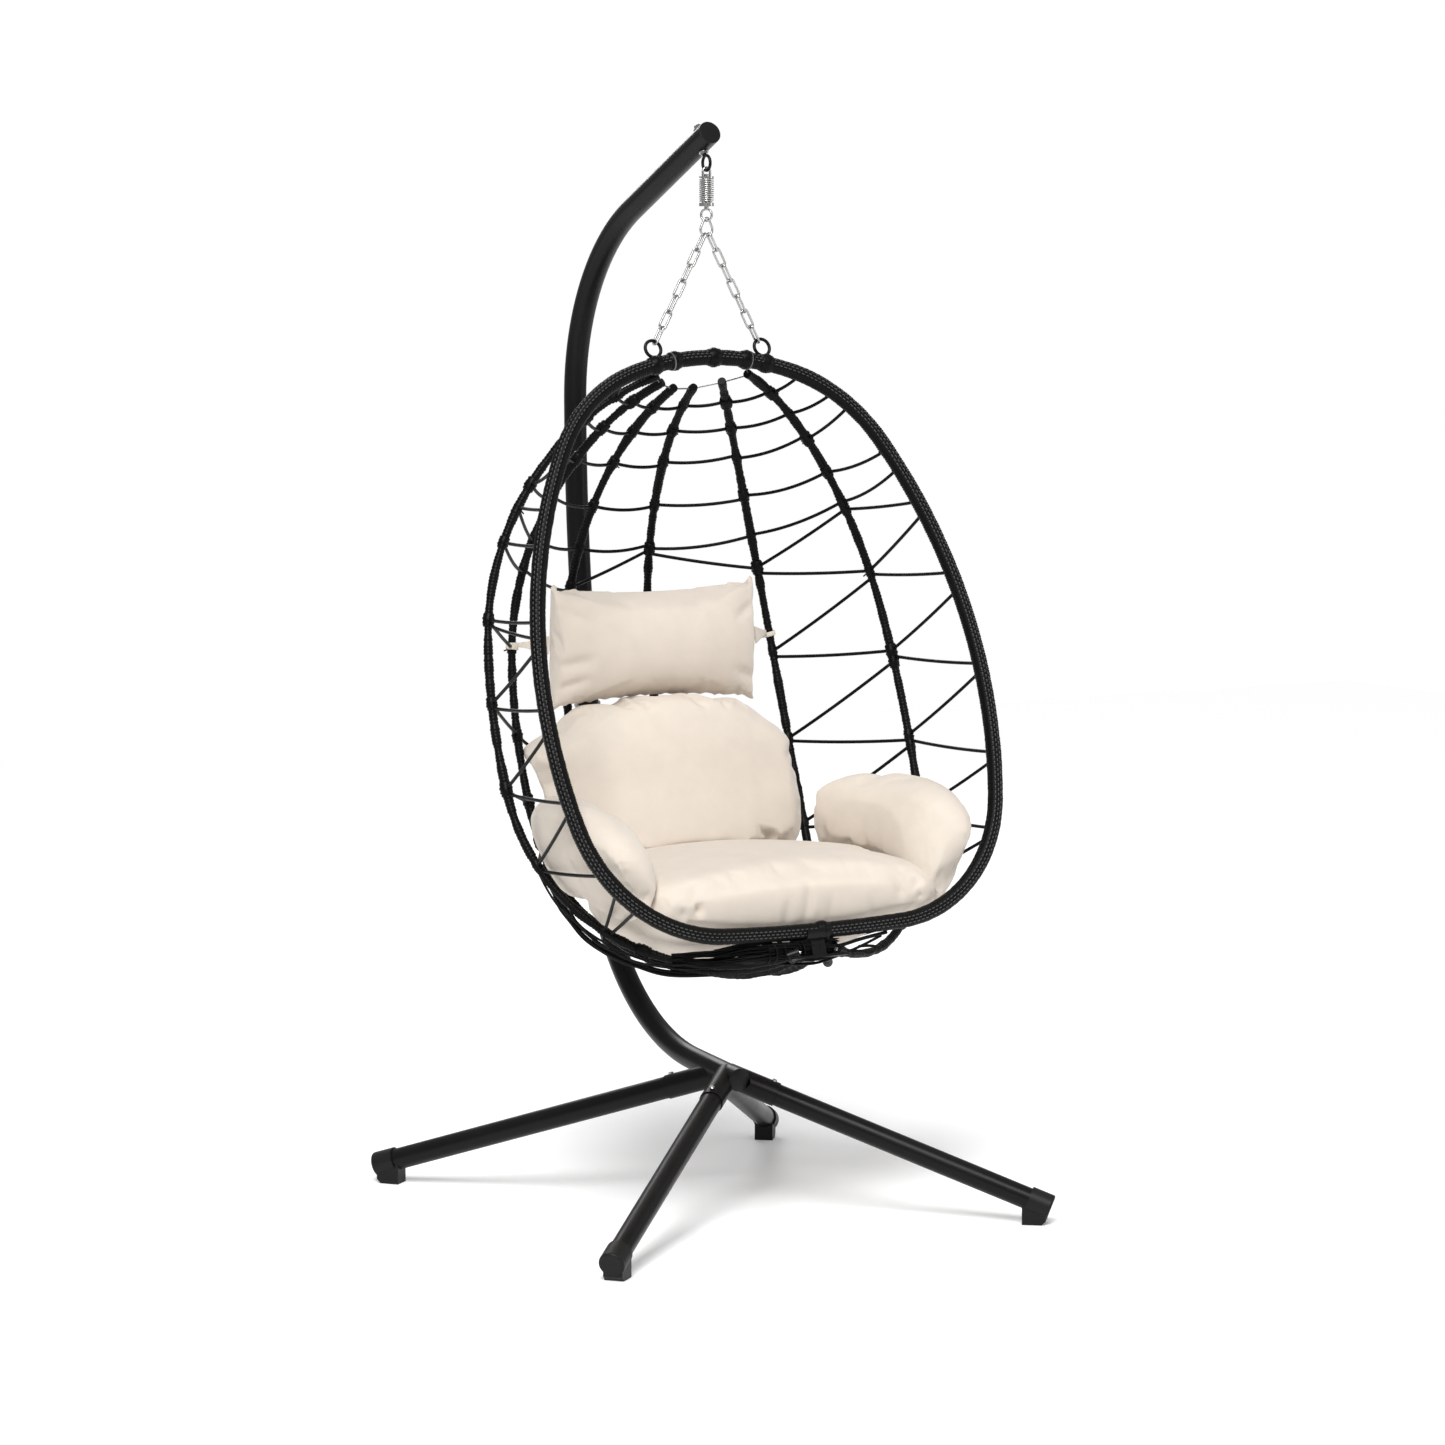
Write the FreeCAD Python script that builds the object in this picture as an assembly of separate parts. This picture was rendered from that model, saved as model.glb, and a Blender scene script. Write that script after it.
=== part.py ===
import FreeCAD, Part

import math
import os

from FreeCAD import Placement, Rotation, Vector

# Hanging egg chair: a steel cross-foot stand with one curved post, a sprung and swivelling
# hanger, two chains, and an egg-shaped basket of wicker-wrapped rods, cords and cushions.
# Lengths are millimetres. While it is modelled, the origin is on the ground below the hub
# where the four legs meet, the chair faces -Y and Z is up. Left and right are as seen by
# someone who stands in front of the chair, so that right is +X. The finished pieces then
# move together, so that the origin is the middle of the footprint.

X = Vector(1, 0, 0)
Y = Vector(0, 1, 0)
Z = Vector(0, 0, 1)
SIDES = (("left", -1), ("right", 1))

# Clearances between pieces that don't slide on each other.
seat_gap = 0.3
hole_clearance = 0.3
plug_clearance = 0.2

# Post: one bent tube in the plane X = 0, in two lengths.
post_diameter = 42.0
post_wall = 1.5
base_height = 254.0
base_rise = 4.7
base_front = 62.0
base_run = 160.9
base_bend_radius = 405.0
post_lean = 6.66
post_straight = 434.0
post_bow_radius = 3440.0
arm_bend_radius = 387.0
arm_rise = 25.6
arm_straight = 309.5

# Joint in the straight of the post: the lower tube's swaged end plugs into the upper tube.
joint_height = 200.0
spigot_length = 80.0
spigot_clearance = 0.25
spigot_wall = 1.5
spigot_shoulder = 6.0
joint_bolt_diameter = 6.0
joint_bolt_inset = 22.0
joint_bolt_head = 10.0
joint_bolt_head_height = 4.0

# Legs: two pairs of straight tubes that plug into sleeves welded to the post.
leg_diameter = 40.0
leg_wall = 1.5
front_foot = (424.0, -376.0)
front_apex_y = -22.7
rear_foot = (404.0, 520.0)
rear_apex_y = 23.2
rear_apex_drop = 11.0
foot_axis_height = 41.0
sleeve_wall = 1.8
sleeve_clearance = 0.2
sleeve_length = 95.0
leg_start = 57.0
leg_screw_inset = 13.0
leg_screw_diameter = 5.0
leg_screw_head = 10.0
leg_screw_head_height = 3.0
leg_screw_length = 12.0

# Foot: a cap over the end of the leg, with a block under it that stands on the ground.
cap_wall = 3.2
cap_clearance = 0.15
cap_inner_reach = 9.0
cap_outer_reach = 34.0
cap_rim = 4.0
block_inner = 19.0
block_outer = 16.0
block_chamfer = 8.0
block_width = 35.0

# Plugs in the open tube ends.
plug_depth = 14.0
plug_flange = 3.0
plug_rim = 1.4
dome_height = 5.0

# Eye bolt through the arm, square to it.
eye_from_tip = 32.0
eye_drop = 43.0
eye_shank = 8.0
eye_ring_diameter = 32.0
eye_wire = 5.5
eye_washer_diameter = 18.0
eye_washer_thickness = 1.5
eye_nut_flats = 13.0
eye_nut_height = 3.9
cap_nut_height = 6.5
cap_nut_dome = 4.0

# Hanger: a bent yoke, a coil spring between a fixed plate and a moving washer.
yoke_wire = 4.4
yoke_half_width = 7.3
yoke_to_washer = 15.7
hanger_diameter = 26.0
washer_thickness = 2.5
coil_length = 44.0
coil_wire = 3.0
coil_turns = 11
plate_thickness = 6.0
slide_clearance = 0.4
grip_clearance = 0.05
spindle_clearance = 0.06

# Swivel: a ring on a stem that runs up through the spring and is headed on the washer.
stem_diameter = 6.0
stem_head_diameter = 9.0
stem_head_height = 4.0
neck_diameter = 8.0
neck_length = 3.0
swivel_ring_diameter = 25.0
swivel_wire = 4.2
swivel_twist = 35.0

# Pear link and the two chains.
pear_wire = 4.2
pear_top_radius = 6.2
pear_bottom_radius = 12.0
pear_centres = 14.4
pear_gap = 1.0
chain_wire = 4.2
chain_width = 17.0
chain_inner = 31.2
chain_links = 7

# Hoop of the basket: a flat closed outline of tangent arcs, leaning forward at the bottom.
hoop_diameter = 28.0
hoop_tilt = 20.0
hoop_radii = (500.0, 293.0, 954.0, 266.0)
hoop_headings = (19.7, 60.6, 102.3, 177.2)
eyelet_spacing = 224.0
eyelet_diameter = 37.0
eyelet_wire = 6.0
eyelet_rise = 30.0

# Ribs: three pairs of bent rods in half planes about a line parallel to the hoop's.
rib_diameter = 16.0
rib_fan_forward = 24.8
rib_fan_drop = 21.0
rib_start_radius = 107.0
rib_start_heading = 10.3
rib_radii = (402.0, 518.0, 1257.0, 390.0)
rib_headings = (33.0, 80.9, 94.4, 188.7)
rib_kinds = (("side", 31.8, 1.0), ("middle", 57.9, 1.066), ("back", 81.05, 1.213))

# Cable that strings the top ends of the ribs together below the hoop.
cable_diameter = 2.4
cable_hole_inset = 7.0
cable_hole_clearance = 0.8
cable_hoop_x = 80.0

# Hub bracket under the hoop, with sockets for the lower ends of the ribs.
socket_clearance = 0.65
socket_wall = 1.7
socket_floor = 3.5
socket_depth = 18.0
hub_plate_rim = 2.1
hub_plate_thickness = 4.0
hub_plate_drop = 7.0
hub_riser_width = 28.0
hub_riser_depth = 14.0
hub_saddle_wall = 3.5
hub_saddle_width = 44.0
hub_screw_diameter = 4.0
hub_screw_length = 14.0
hub_screw_head = 8.0
hub_screw_head_height = 2.8

# Net cords. Each pair gives how far down the centre line its two ends are tied.
cord_diameter = 3.2
cord_gap = 0.3
net_bays = (
    ("net_right_side", ("hoop", 1), ("side", 1),
     ((35, 45), (70, 75), (95, 115), (180, 170), (215, 222), (280, 235), (300, 347), (415, 353),
      (447, 497), (587, 507), (600, 657), (752, 667), (765, 800), (890, 810), (905, 930))),
    ("net_right_back", ("side", 1), ("middle", 1),
     ((43, 41), (75, 72), (110, 114), (170, 170), (222, 234), (235, 290), (347, 300), (360, 442),
      (497, 452), (517, 607), (667, 612), (677, 770), (812, 780), (930, 930), (1020, 1025))),
    ("net_back_right", ("middle", 1), ("back", 1),
     ((40, 35), (72, 60), (110, 98), (176, 156), (236, 222), (292, 230), (612, 640), (780, 770),
      (930, 925), (1025, 1020))),
    ("net_back_middle", ("back", 1), ("back", -1),
     ((36, 36), (62, 60), (102, 97), (158, 155), (216, 218), (224, 280), (640, 630), (770, 780),
      (925, 925), (1010, 1010))),
    ("net_back_left", ("back", -1), ("middle", -1),
     ((36, 38), (61, 68), (98, 109), (155, 162), (217, 226), (285, 275), (630, 570), (780, 770),
      (925, 930), (1020, 1025))),
    ("net_left_back", ("middle", -1), ("side", -1),
     ((40, 45), (70, 76), (112, 114), (165, 175), (230, 212), (280, 270), (410, 403), (567, 552),
      (692, 707), (780, 850), (930, 985), (1025, 1030))),
    ("net_left_side", ("side", -1), ("hoop", -1),
     ((45, 35), (76, 70), (115, 97), (175, 180), (212, 270), (270, 335), (403, 470), (412, 500),
      (552, 515), (560, 625), (707, 660), (715, 790), (850, 800), (860, 920), (985, 945), (992, 980))),
)

# Cushions, in places measured from the top of the hoop: sections along one axis, each with its
# place, its half sizes and how far its top, sides and bottom swell.
seat_sections = (
    (-338, 230, -908, -958, -970, 8), (-318, 268, -890, -956, -988, 10),
    (-250, 290, -878, -952, -1034, 10), (-120, 294, -872, -955, -1066, 10),
    (-20, 270, -876, -952, -1070, 10), (50, 234, -886, -948, -1052, 8),
    (92, 200, -908, -950, -1004, 6),
)
seat_edge_drop = 24.0
back_sections = (
    (-968, 92, 130, 14, 14), (-945, 96, 184, 24, 26), (-880, 112, 238, 34, 36),
    (-780, 156, 250, 38, 44), (-705, 178, 246, 38, 42), (-655, 192, 206, 34, 34),
    (-634, 199, 144, 24, 22), (-621, 202, 76, 12, 8),
)
back_side_swell = 6.0
arm_sections = (
    (-304, 276, 314, -922, -902, 312, 364, -852, -846, 6),
    (-270, 272, 318, -938, -910, 292, 382, -806, -816, 10),
    (-180, 280, 336, -935, -905, 286, 394, -780, -796, 12),
    (-80, 278, 340, -925, -900, 280, 390, -776, -792, 12),
    (0, 262, 318, -905, -885, 262, 362, -782, -800, 10),
    (46, 248, 290, -888, -870, 248, 322, -798, -810, 6),
)
pillow_y = 206.0
pillow_z = -526.0
pillow_sections = (
    (-218, 112, 3), (-206, 110, 14), (-165, 103, 34), (-90, 95, 48), (0, 92, 52),
    (90, 95, 48), (165, 103, 34), (206, 110, 14), (218, 112, 3),
)
cushion_gap = 0.4
tie_width = 3.0
tie_end_gap = 1.3
tie_drop = 405.0


def rad(degrees):
    return math.radians(degrees)


def solid_sum(first, *others):
    """One solid from pieces that run into each other."""
    return first.fuse(list(others)).removeSplitter()


def cylinder(start, direction, radius, length):
    return Part.makeCylinder(radius, length, start, direction)


def rod_between(start, end, radius):
    return cylinder(start, end - start, radius, (end - start).Length)


def torus(centre, axis, ring_diameter, wire):
    """A closed ring, by its outer diameter and its wire."""
    return Part.makeTorus((ring_diameter - wire) / 2, wire / 2, centre, axis)


def hexagon(start, direction, flats, height):
    """A hexagonal prism that stands on start, by its width across flats."""
    turned = Rotation(Z, direction)
    corners = []
    for corner in range(7):
        angle = rad(60 * corner)
        flat = Vector(math.cos(angle), math.sin(angle), 0) * (flats / math.sqrt(3))
        corners.append(start + turned.multVec(flat))
    return Part.Face(Part.makePolygon(corners)).extrude(turned.multVec(Z) * height)


class Track:
    """A flat path of straight runs and tangent arcs, drawn by its heading."""

    def __init__(self, start, across, up, heading):
        self.start = start
        self.across = across
        self.up = up
        self.u = 0.0
        self.v = 0.0
        self.heading = rad(heading)
        self.edges = []

    def place(self, u, v):
        return self.start + self.across * u + self.up * v

    def here(self):
        return self.place(self.u, self.v)

    def direction(self):
        return self.across * math.cos(self.heading) + self.up * math.sin(self.heading)

    def run(self, length):
        begin = self.here()
        self.u += length * math.cos(self.heading)
        self.v += length * math.sin(self.heading)
        self.edges.append(Part.LineSegment(begin, self.here()).toShape())
        return self

    def bend(self, radius, turn):
        """An arc that turns left by a positive angle or right by a negative one."""
        side = math.copysign(1.0, turn)
        first = self.heading
        points = [self.here()]
        for share in (0.5, 1.0):
            angle = first + rad(turn) * share
            u = self.u + side * radius * (math.sin(angle) - math.sin(first))
            v = self.v + side * radius * (math.cos(first) - math.cos(angle))
            points.append(self.place(u, v))
        self.u = u
        self.v = v
        self.heading = angle
        self.edges.append(Part.Arc(*points).toShape())
        return self


def sweep(edges, start, direction, radius):
    """A round bar along a path."""
    profile = Part.Wire(Part.Circle(start, direction, radius).toShape())
    return Part.Wire(edges).makePipeShell([profile], True, False)


def sweep_track(track, start, direction, radius):
    return sweep(track.edges, start, direction, radius)


# Post.

post_radius = post_diameter / 2
bore_radius = post_radius - post_wall
base_start = Vector(0, -base_front, base_height - base_front * math.tan(rad(base_rise)))


def lower_track():
    track = Track(base_start, Y, Z, base_rise)
    track.run(base_run)
    track.bend(base_bend_radius, 90 - post_lean - base_rise)
    track.run(joint_height)
    return track


def upper_track(lower):
    track = Track(lower.here(), Y, Z, 90 - post_lean)
    track.run(post_straight - joint_height)
    track.bend(post_bow_radius, post_lean)
    track.bend(arm_bend_radius, 90 - arm_rise)
    track.run(arm_straight)
    return track


lower_path = lower_track()
joint_point = lower_path.here()
joint_direction = lower_path.direction()
upper_path = upper_track(lower_path)
arm_tip = upper_path.here()
arm_direction = upper_path.direction()
base_direction = Vector(0, math.cos(rad(base_rise)), math.sin(rad(base_rise)))

# Legs: each has an axis from an apex inside the post to the middle of its foot.


def base_axis_height(y):
    return base_height + y * math.tan(rad(base_rise))


class Leg:
    """The axis of one leg and the places along it."""

    def __init__(self, name, side, apex, foot):
        self.name = name
        self.apex = apex
        self.foot = Vector(side * foot[0], foot[1], foot_axis_height)
        reach = self.foot - apex
        self.length = reach.Length
        self.direction = reach / self.length
        self.outward = Vector(reach.x, reach.y, 0).normalize()
        self.across = Z.cross(self.outward)
        self.over = self.direction.cross(self.across)

    def at(self, distance):
        return self.apex + self.direction * distance


front_apex = Vector(0, front_apex_y, base_axis_height(front_apex_y))
rear_apex = Vector(0, rear_apex_y, base_axis_height(rear_apex_y) - rear_apex_drop)
legs = []
for side_name, side in SIDES:
    legs.append(Leg("front_" + side_name, side, front_apex, front_foot))
    legs.append(Leg("rear_" + side_name, side, rear_apex, rear_foot))

leg_radius = leg_diameter / 2
sleeve_bore = leg_radius + sleeve_clearance
sleeve_radius = sleeve_bore + sleeve_wall
leg_end_gap = cap_wall + seat_gap


def joint_bolt_axes():
    for height in (joint_bolt_inset, spigot_length - joint_bolt_inset):
        yield joint_point + joint_direction * height


def joint_bolt_holes():
    holes = []
    for middle in joint_bolt_axes():
        radius = joint_bolt_diameter / 2 + hole_clearance
        holes.append(cylinder(middle - X * post_diameter, X, radius, 2 * post_diameter))
    return holes


def leg_screw_start(leg):
    return leg.at(sleeve_length - leg_screw_inset) + leg.over * (sleeve_radius + seat_gap)


def lower_post():
    """The lower tube with its spigot and the four welded sleeves."""
    outer = sweep_track(lower_path, base_start, base_direction, post_radius)
    inner = sweep_track(lower_path, base_start, base_direction, bore_radius)
    sleeves = []
    sockets = []
    screw_holes = []
    for leg in legs:
        sleeves.append(cylinder(leg.apex, leg.direction, sleeve_radius, sleeve_length))
        sockets.append(cylinder(leg.apex, leg.direction, sleeve_bore, sleeve_length))
        hole = leg_screw_diameter / 2 + hole_clearance
        screw_holes.append(cylinder(leg_screw_start(leg), leg.over * -1, hole, leg_diameter / 2))
    nose = cylinder(base_start - base_direction * plug_depth, base_direction,
                    post_radius + seat_gap, plug_depth)
    sleeve_shells = sleeves[0].fuse(sleeves[1:]).cut(sockets + [nose])
    body = outer.fuse(sleeve_shells.cut(outer))
    spigot_radius = bore_radius - spigot_clearance
    shoulder = joint_point - joint_direction * spigot_shoulder
    collar = cylinder(shoulder, joint_direction, post_radius, spigot_shoulder)
    spigot = cylinder(shoulder, joint_direction, spigot_radius, spigot_shoulder + spigot_length)
    hollow = cylinder(shoulder, joint_direction, spigot_radius - spigot_wall,
                      spigot_shoulder + spigot_length)
    ring = collar.fuse(spigot).cut(hollow)
    body = body.cut(inner).fuse(ring).removeSplitter()
    return body.cut(screw_holes + joint_bolt_holes())


def eye_axis():
    """The middle of the eye bolt's hole in the arm, and the way the bolt points."""
    middle = arm_tip - arm_direction * eye_from_tip
    return middle, X.cross(arm_direction)


eye_middle, eye_down = eye_axis()


def upper_post():
    outer = sweep_track(upper_path, joint_point, joint_direction, post_radius)
    inner = sweep_track(upper_path, joint_point, joint_direction, bore_radius)
    hole = cylinder(eye_middle - eye_down * post_diameter, eye_down,
                    eye_shank / 2 + hole_clearance, 2 * post_diameter)
    return outer.cut([inner, hole] + joint_bolt_holes())


def post_joint_bolts():
    """Two cross bolts with plain nuts on the far side."""
    pieces = []
    head_out = post_radius + seat_gap
    for middle in joint_bolt_axes():
        head_start = middle + X * head_out
        head = hexagon(head_start, X, joint_bolt_head, joint_bolt_head_height)
        shank_length = 2 * head_out + joint_bolt_head_height + 1
        shank = cylinder(head_start, X * -1, joint_bolt_diameter / 2, shank_length)
        pieces.append(solid_sum(head, shank))
        nut = hexagon(middle - X * head_out, X * -1, joint_bolt_head, joint_bolt_head_height)
        bore = cylinder(middle, X * -1, joint_bolt_diameter / 2 + grip_clearance,
                        2 * post_diameter)
        pieces.append(nut.cut(bore))
    return Part.makeCompound(pieces)


def leg_tube(leg):
    length = leg.length + cap_outer_reach - leg_end_gap - leg_start
    outer = cylinder(leg.at(leg_start), leg.direction, leg_radius, length)
    inner = cylinder(leg.at(leg_start), leg.direction, leg_radius - leg_wall, length)
    hole = cylinder(leg_screw_start(leg), leg.over * -1,
                    leg_screw_diameter / 2 + hole_clearance, leg_diameter / 2)
    return outer.cut([inner, hole])


def leg_screws():
    """One screw through the top of each sleeve into its leg."""
    screws = []
    for leg in legs:
        start = leg_screw_start(leg)
        head = cylinder(start, leg.over, leg_screw_head / 2, leg_screw_head_height)
        head = head.makeChamfer(leg_screw_head_height / 2, [top_edge(head, start, leg.over)])
        shank = cylinder(start, leg.over * -1, leg_screw_diameter / 2, leg_screw_length)
        screws.append(solid_sum(head, shank))
    return Part.makeCompound(screws)


def top_edge(shape, start, direction):
    """The round edge of a cylinder that lies furthest along a direction."""
    rims = [edge for edge in shape.Edges if edge.Closed and "Circle" in edge.Curve.TypeId]
    return max(rims, key=lambda edge: (edge.Curve.Center - start).dot(direction))


def foot(leg):
    """A cap over the leg's end, on a block with a flat sole."""
    cap_bore = leg_radius + cap_clearance
    cap_radius = cap_bore + cap_wall
    start = leg.at(leg.length - cap_inner_reach)
    length = cap_inner_reach + cap_outer_reach
    cap = cylinder(start, leg.direction, cap_radius, length)
    cap = cap.makeFillet(cap_rim, [top_edge(cap, start, leg.direction)])
    ground = Vector(leg.foot.x, leg.foot.y, 0)
    slope = -leg.direction.z / leg.direction.dot(leg.outward)
    chamfer_end = block_outer + block_chamfer
    outline = (
        (-block_inner, 0), (block_outer, 0), (chamfer_end, block_chamfer),
        (chamfer_end, foot_axis_height - chamfer_end * slope),
        (-block_inner, foot_axis_height + block_inner * slope),
    )
    shift = leg.across * (-block_width / 2)
    corners = [ground + shift + leg.outward * t + Z * z for t, z in outline]
    block = Part.Face(Part.makePolygon(corners + corners[:1])).extrude(leg.across * block_width)
    hollow = cylinder(start, leg.direction, cap_bore, length - cap_wall)
    behind = cylinder(start - leg.direction * length, leg.direction, cap_bore, length)
    return cap.fuse(block).removeSplitter().cut([hollow, behind])


def tube_plug(end, outward, domed):
    """A plug in the open end of the post's tube, flat or domed outside."""
    stem = cylinder(end - outward * plug_depth, outward, bore_radius - plug_clearance, plug_depth)
    if domed:
        rise = dome_height
        sphere_radius = (post_radius ** 2 + rise ** 2) / (2 * rise)
        ball = Part.makeSphere(sphere_radius, end + outward * (rise - sphere_radius))
        head = cylinder(end, outward, post_radius, rise).common(ball)
    else:
        head = cylinder(end, outward, post_radius, plug_flange)
        head = head.makeFillet(plug_rim, [top_edge(head, end, outward)])
    return solid_sum(stem, head)


# Eye bolt.

eye_centre = eye_middle + eye_down * eye_drop
hang_y = eye_centre.y
washer_start = post_radius + seat_gap


def eye_bolt():
    top = washer_start + eye_washer_thickness + cap_nut_height
    start = eye_middle - eye_down * top
    shank_end = eye_drop - eye_ring_diameter / 2 + eye_wire / 2
    shank = cylinder(start, eye_down, eye_shank / 2, top + shank_end)
    return solid_sum(torus(eye_centre, X, eye_ring_diameter, eye_wire), shank)


def eye_bolt_nuts():
    """A washer on each side of the arm, a plain nut below it and a domed nut above."""
    pieces = []
    bore = cylinder(eye_middle - eye_down * post_diameter, eye_down,
                    eye_shank / 2 + grip_clearance, 2 * post_diameter)
    for way in (eye_down, eye_down * -1):
        washer = cylinder(eye_middle + way * washer_start, way,
                          eye_washer_diameter / 2, eye_washer_thickness)
        pieces.append(washer.cut(bore))
    nut_start = washer_start + eye_washer_thickness
    nut = hexagon(eye_middle + eye_down * nut_start, eye_down, eye_nut_flats, eye_nut_height)
    pieces.append(nut.cut(bore))
    above = eye_down * -1
    cap_start = eye_middle + above * nut_start
    cap = hexagon(cap_start, above, eye_nut_flats, cap_nut_height)
    ball_radius = ((eye_nut_flats / 2) ** 2 + cap_nut_dome ** 2) / (2 * cap_nut_dome)
    dome_top = cap_start + above * (cap_nut_height + cap_nut_dome)
    ball = Part.makeSphere(ball_radius, dome_top - above * ball_radius)
    dome = cylinder(cap_start, above, eye_nut_flats / 2, cap_nut_height + cap_nut_dome).common(ball)
    pocket = cylinder(cap_start, above, eye_shank / 2 + grip_clearance, cap_nut_height + grip_clearance)
    pieces.append(solid_sum(cap, dome).cut(pocket))
    return Part.makeCompound(pieces)


# Hanger, spring and swivel: heights go down from the eye.

yoke_top = eye_centre.z - eye_ring_diameter / 2 + eye_wire + yoke_wire / 2 + seat_gap
washer_top = yoke_top - yoke_to_washer
coil_top = washer_top - washer_thickness
coil_bottom = coil_top - coil_length
plate_bottom = coil_bottom - plate_thickness
ring_mean = (swivel_ring_diameter - swivel_wire) / 2
swivel_centre_z = plate_bottom - neck_length - swivel_ring_diameter / 2
swivel_contact_z = swivel_centre_z - ring_mean
pear_top_z = swivel_contact_z + (swivel_wire + pear_wire) / 2 + pear_gap
pear_bottom_centre_z = pear_top_z - pear_top_radius - pear_centres


def on_axis(height, x=0.0):
    return Vector(x, hang_y, height)


def hanger_disc(top, thickness, leg_hole, stem_hole):
    """A round plate with holes for the yoke's legs and the stem."""
    disc = cylinder(on_axis(top - thickness), Z, hanger_diameter / 2, thickness)
    holes = [cylinder(on_axis(top - thickness), Z, stem_hole, thickness)]
    for _, side in SIDES:
        holes.append(cylinder(on_axis(top - thickness, side * yoke_half_width), Z,
                              leg_hole, thickness))
    return disc.cut(holes)


def hanger_yoke():
    """A wire bow over the eye whose legs run down through the coil into the plate."""
    leg_length = yoke_top - yoke_half_width - plate_bottom
    start = on_axis(plate_bottom, -yoke_half_width)
    track = Track(start, X, Z, 90)
    track.run(leg_length).bend(yoke_half_width, -180).run(leg_length)
    return sweep_track(track, start, Z, yoke_wire / 2)


def biarc(start, start_way, end, end_way):
    """Two tangent arcs from one point and direction to another."""
    span = end - start
    both = start_way + end_way
    spread = 2 * (1 - start_way.dot(end_way))
    reach = (math.sqrt(span.dot(both) ** 2 + spread * span.dot(span)) - span.dot(both)) / spread
    first_corner = start + start_way * reach
    last_corner = end - end_way * reach
    middle = (first_corner + last_corner) / 2
    edges = []
    for begin, corner, finish in ((start, first_corner, middle), (middle, last_corner, end)):
        chord = (begin + finish) / 2
        half = (finish - begin).Length / 2
        rise = corner - chord
        sagitta = half * math.tan(math.atan2(rise.Length, half) / 2)
        edges.append(Part.Arc(begin, chord + rise.normalize() * sagitta, finish).toShape())
    return edges


coil_radius = (hanger_diameter - coil_wire) / 2
coil_first = coil_bottom + coil_wire / 2 + seat_gap
coil_last = coil_top - coil_wire / 2 - seat_gap
coil_pitch = (coil_last - coil_first) / coil_turns


def coil_point(turns):
    angle = 2 * math.pi * turns
    return Vector(coil_radius * math.cos(angle), hang_y + coil_radius * math.sin(angle),
                  coil_first + coil_pitch * turns)


def coil_way(turns):
    angle = 2 * math.pi * turns
    way = Vector(-math.sin(angle), math.cos(angle), coil_pitch / (2 * math.pi * coil_radius))
    return way.normalize()


def spring_coil():
    edges = []
    for half in range(2 * coil_turns):
        begin = half / 2
        finish = begin + 0.5
        edges += biarc(coil_point(begin), coil_way(begin), coil_point(finish), coil_way(finish))
    return sweep(edges, coil_point(0), coil_way(0), coil_wire / 2)


def coil_self_gap():
    """The least distance between neighbouring turns of the coil, measured on points."""
    steps = 48
    points = [coil_point(step / steps) for step in range(steps * coil_turns + 1)]
    least = min((points[index] - points[other]).Length
                for index in range(0, len(points), 4)
                for other in range(index + steps // 2, len(points)))
    return least - coil_wire


def swivel_eye():
    """The ring, its neck under the plate and the stem through the spring."""
    bore_axis = Vector(math.cos(rad(swivel_twist)), math.sin(rad(swivel_twist)), 0)
    ring = torus(on_axis(swivel_centre_z), bore_axis, swivel_ring_diameter, swivel_wire)
    into_ring = swivel_wire / 2
    neck = cylinder(on_axis(plate_bottom - neck_length - into_ring), Z, neck_diameter / 2,
                    neck_length + into_ring - seat_gap)
    stem_top = washer_top + seat_gap + stem_head_height
    stem = cylinder(on_axis(plate_bottom - neck_length), Z, stem_diameter / 2,
                    stem_top - plate_bottom + neck_length)
    return solid_sum(ring, neck, stem)


def swivel_nut():
    nut = cylinder(on_axis(washer_top + seat_gap), Z, stem_head_diameter / 2, stem_head_height)
    bore = cylinder(on_axis(washer_top), Z, stem_diameter / 2 + grip_clearance,
                    2 * stem_head_height)
    return nut.cut(bore)


def pear_link():
    """A closed link, narrow where it hangs and wide where the chains hook in."""
    taper = math.degrees(math.asin((pear_bottom_radius - pear_top_radius) / pear_centres))
    side = math.sqrt(pear_centres ** 2 - (pear_bottom_radius - pear_top_radius) ** 2)
    start = on_axis(pear_top_z)
    track = Track(start, X, Z, 0)
    track.bend(pear_top_radius, taper - 90).run(side)
    track.bend(pear_bottom_radius, -180 - 2 * taper)
    track.run(side).bend(pear_top_radius, taper - 90)
    return sweep_track(track, start, X, pear_wire / 2)


# Chains: each link hooks over the one above, and the last one under the hoop's eyelet.

link_length = chain_inner + chain_wire
link_overlap = chain_wire + seat_gap
first_link_top = pear_bottom_radius - (pear_wire + chain_wire) / 2 - seat_gap
last_link_bottom = first_link_top + chain_links * (link_length - link_overlap) + link_overlap
eyelet_reach = last_link_bottom - (chain_wire + eyelet_wire) / 2 - seat_gap
eyelet_mean = (eyelet_diameter - eyelet_wire) / 2


def chain_splay_angle():
    """How far the chains lean apart, so that they meet the eyelets' wire."""
    splay = rad(25)
    for _ in range(20):
        hook = math.atan(math.tan(splay) / math.cos(rad(hoop_tilt)))
        splay = math.asin((eyelet_spacing / 2 - eyelet_mean * math.sin(hook)) / eyelet_reach)
    return splay, hook


chain_splay, hook_angle = chain_splay_angle()
hook_z = pear_bottom_centre_z - eyelet_reach * math.cos(chain_splay)


def chain_link():
    """One link in the plane XZ about the origin."""
    half_width = (chain_width - chain_wire) / 2
    straight = link_length - 2 * half_width
    start = Vector(half_width, 0, -straight / 2)
    track = Track(start, X, Z, 90)
    track.run(straight).bend(half_width, 180).run(straight).bend(half_width, 180)
    return sweep_track(track, start, Z, chain_wire / 2)


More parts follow.
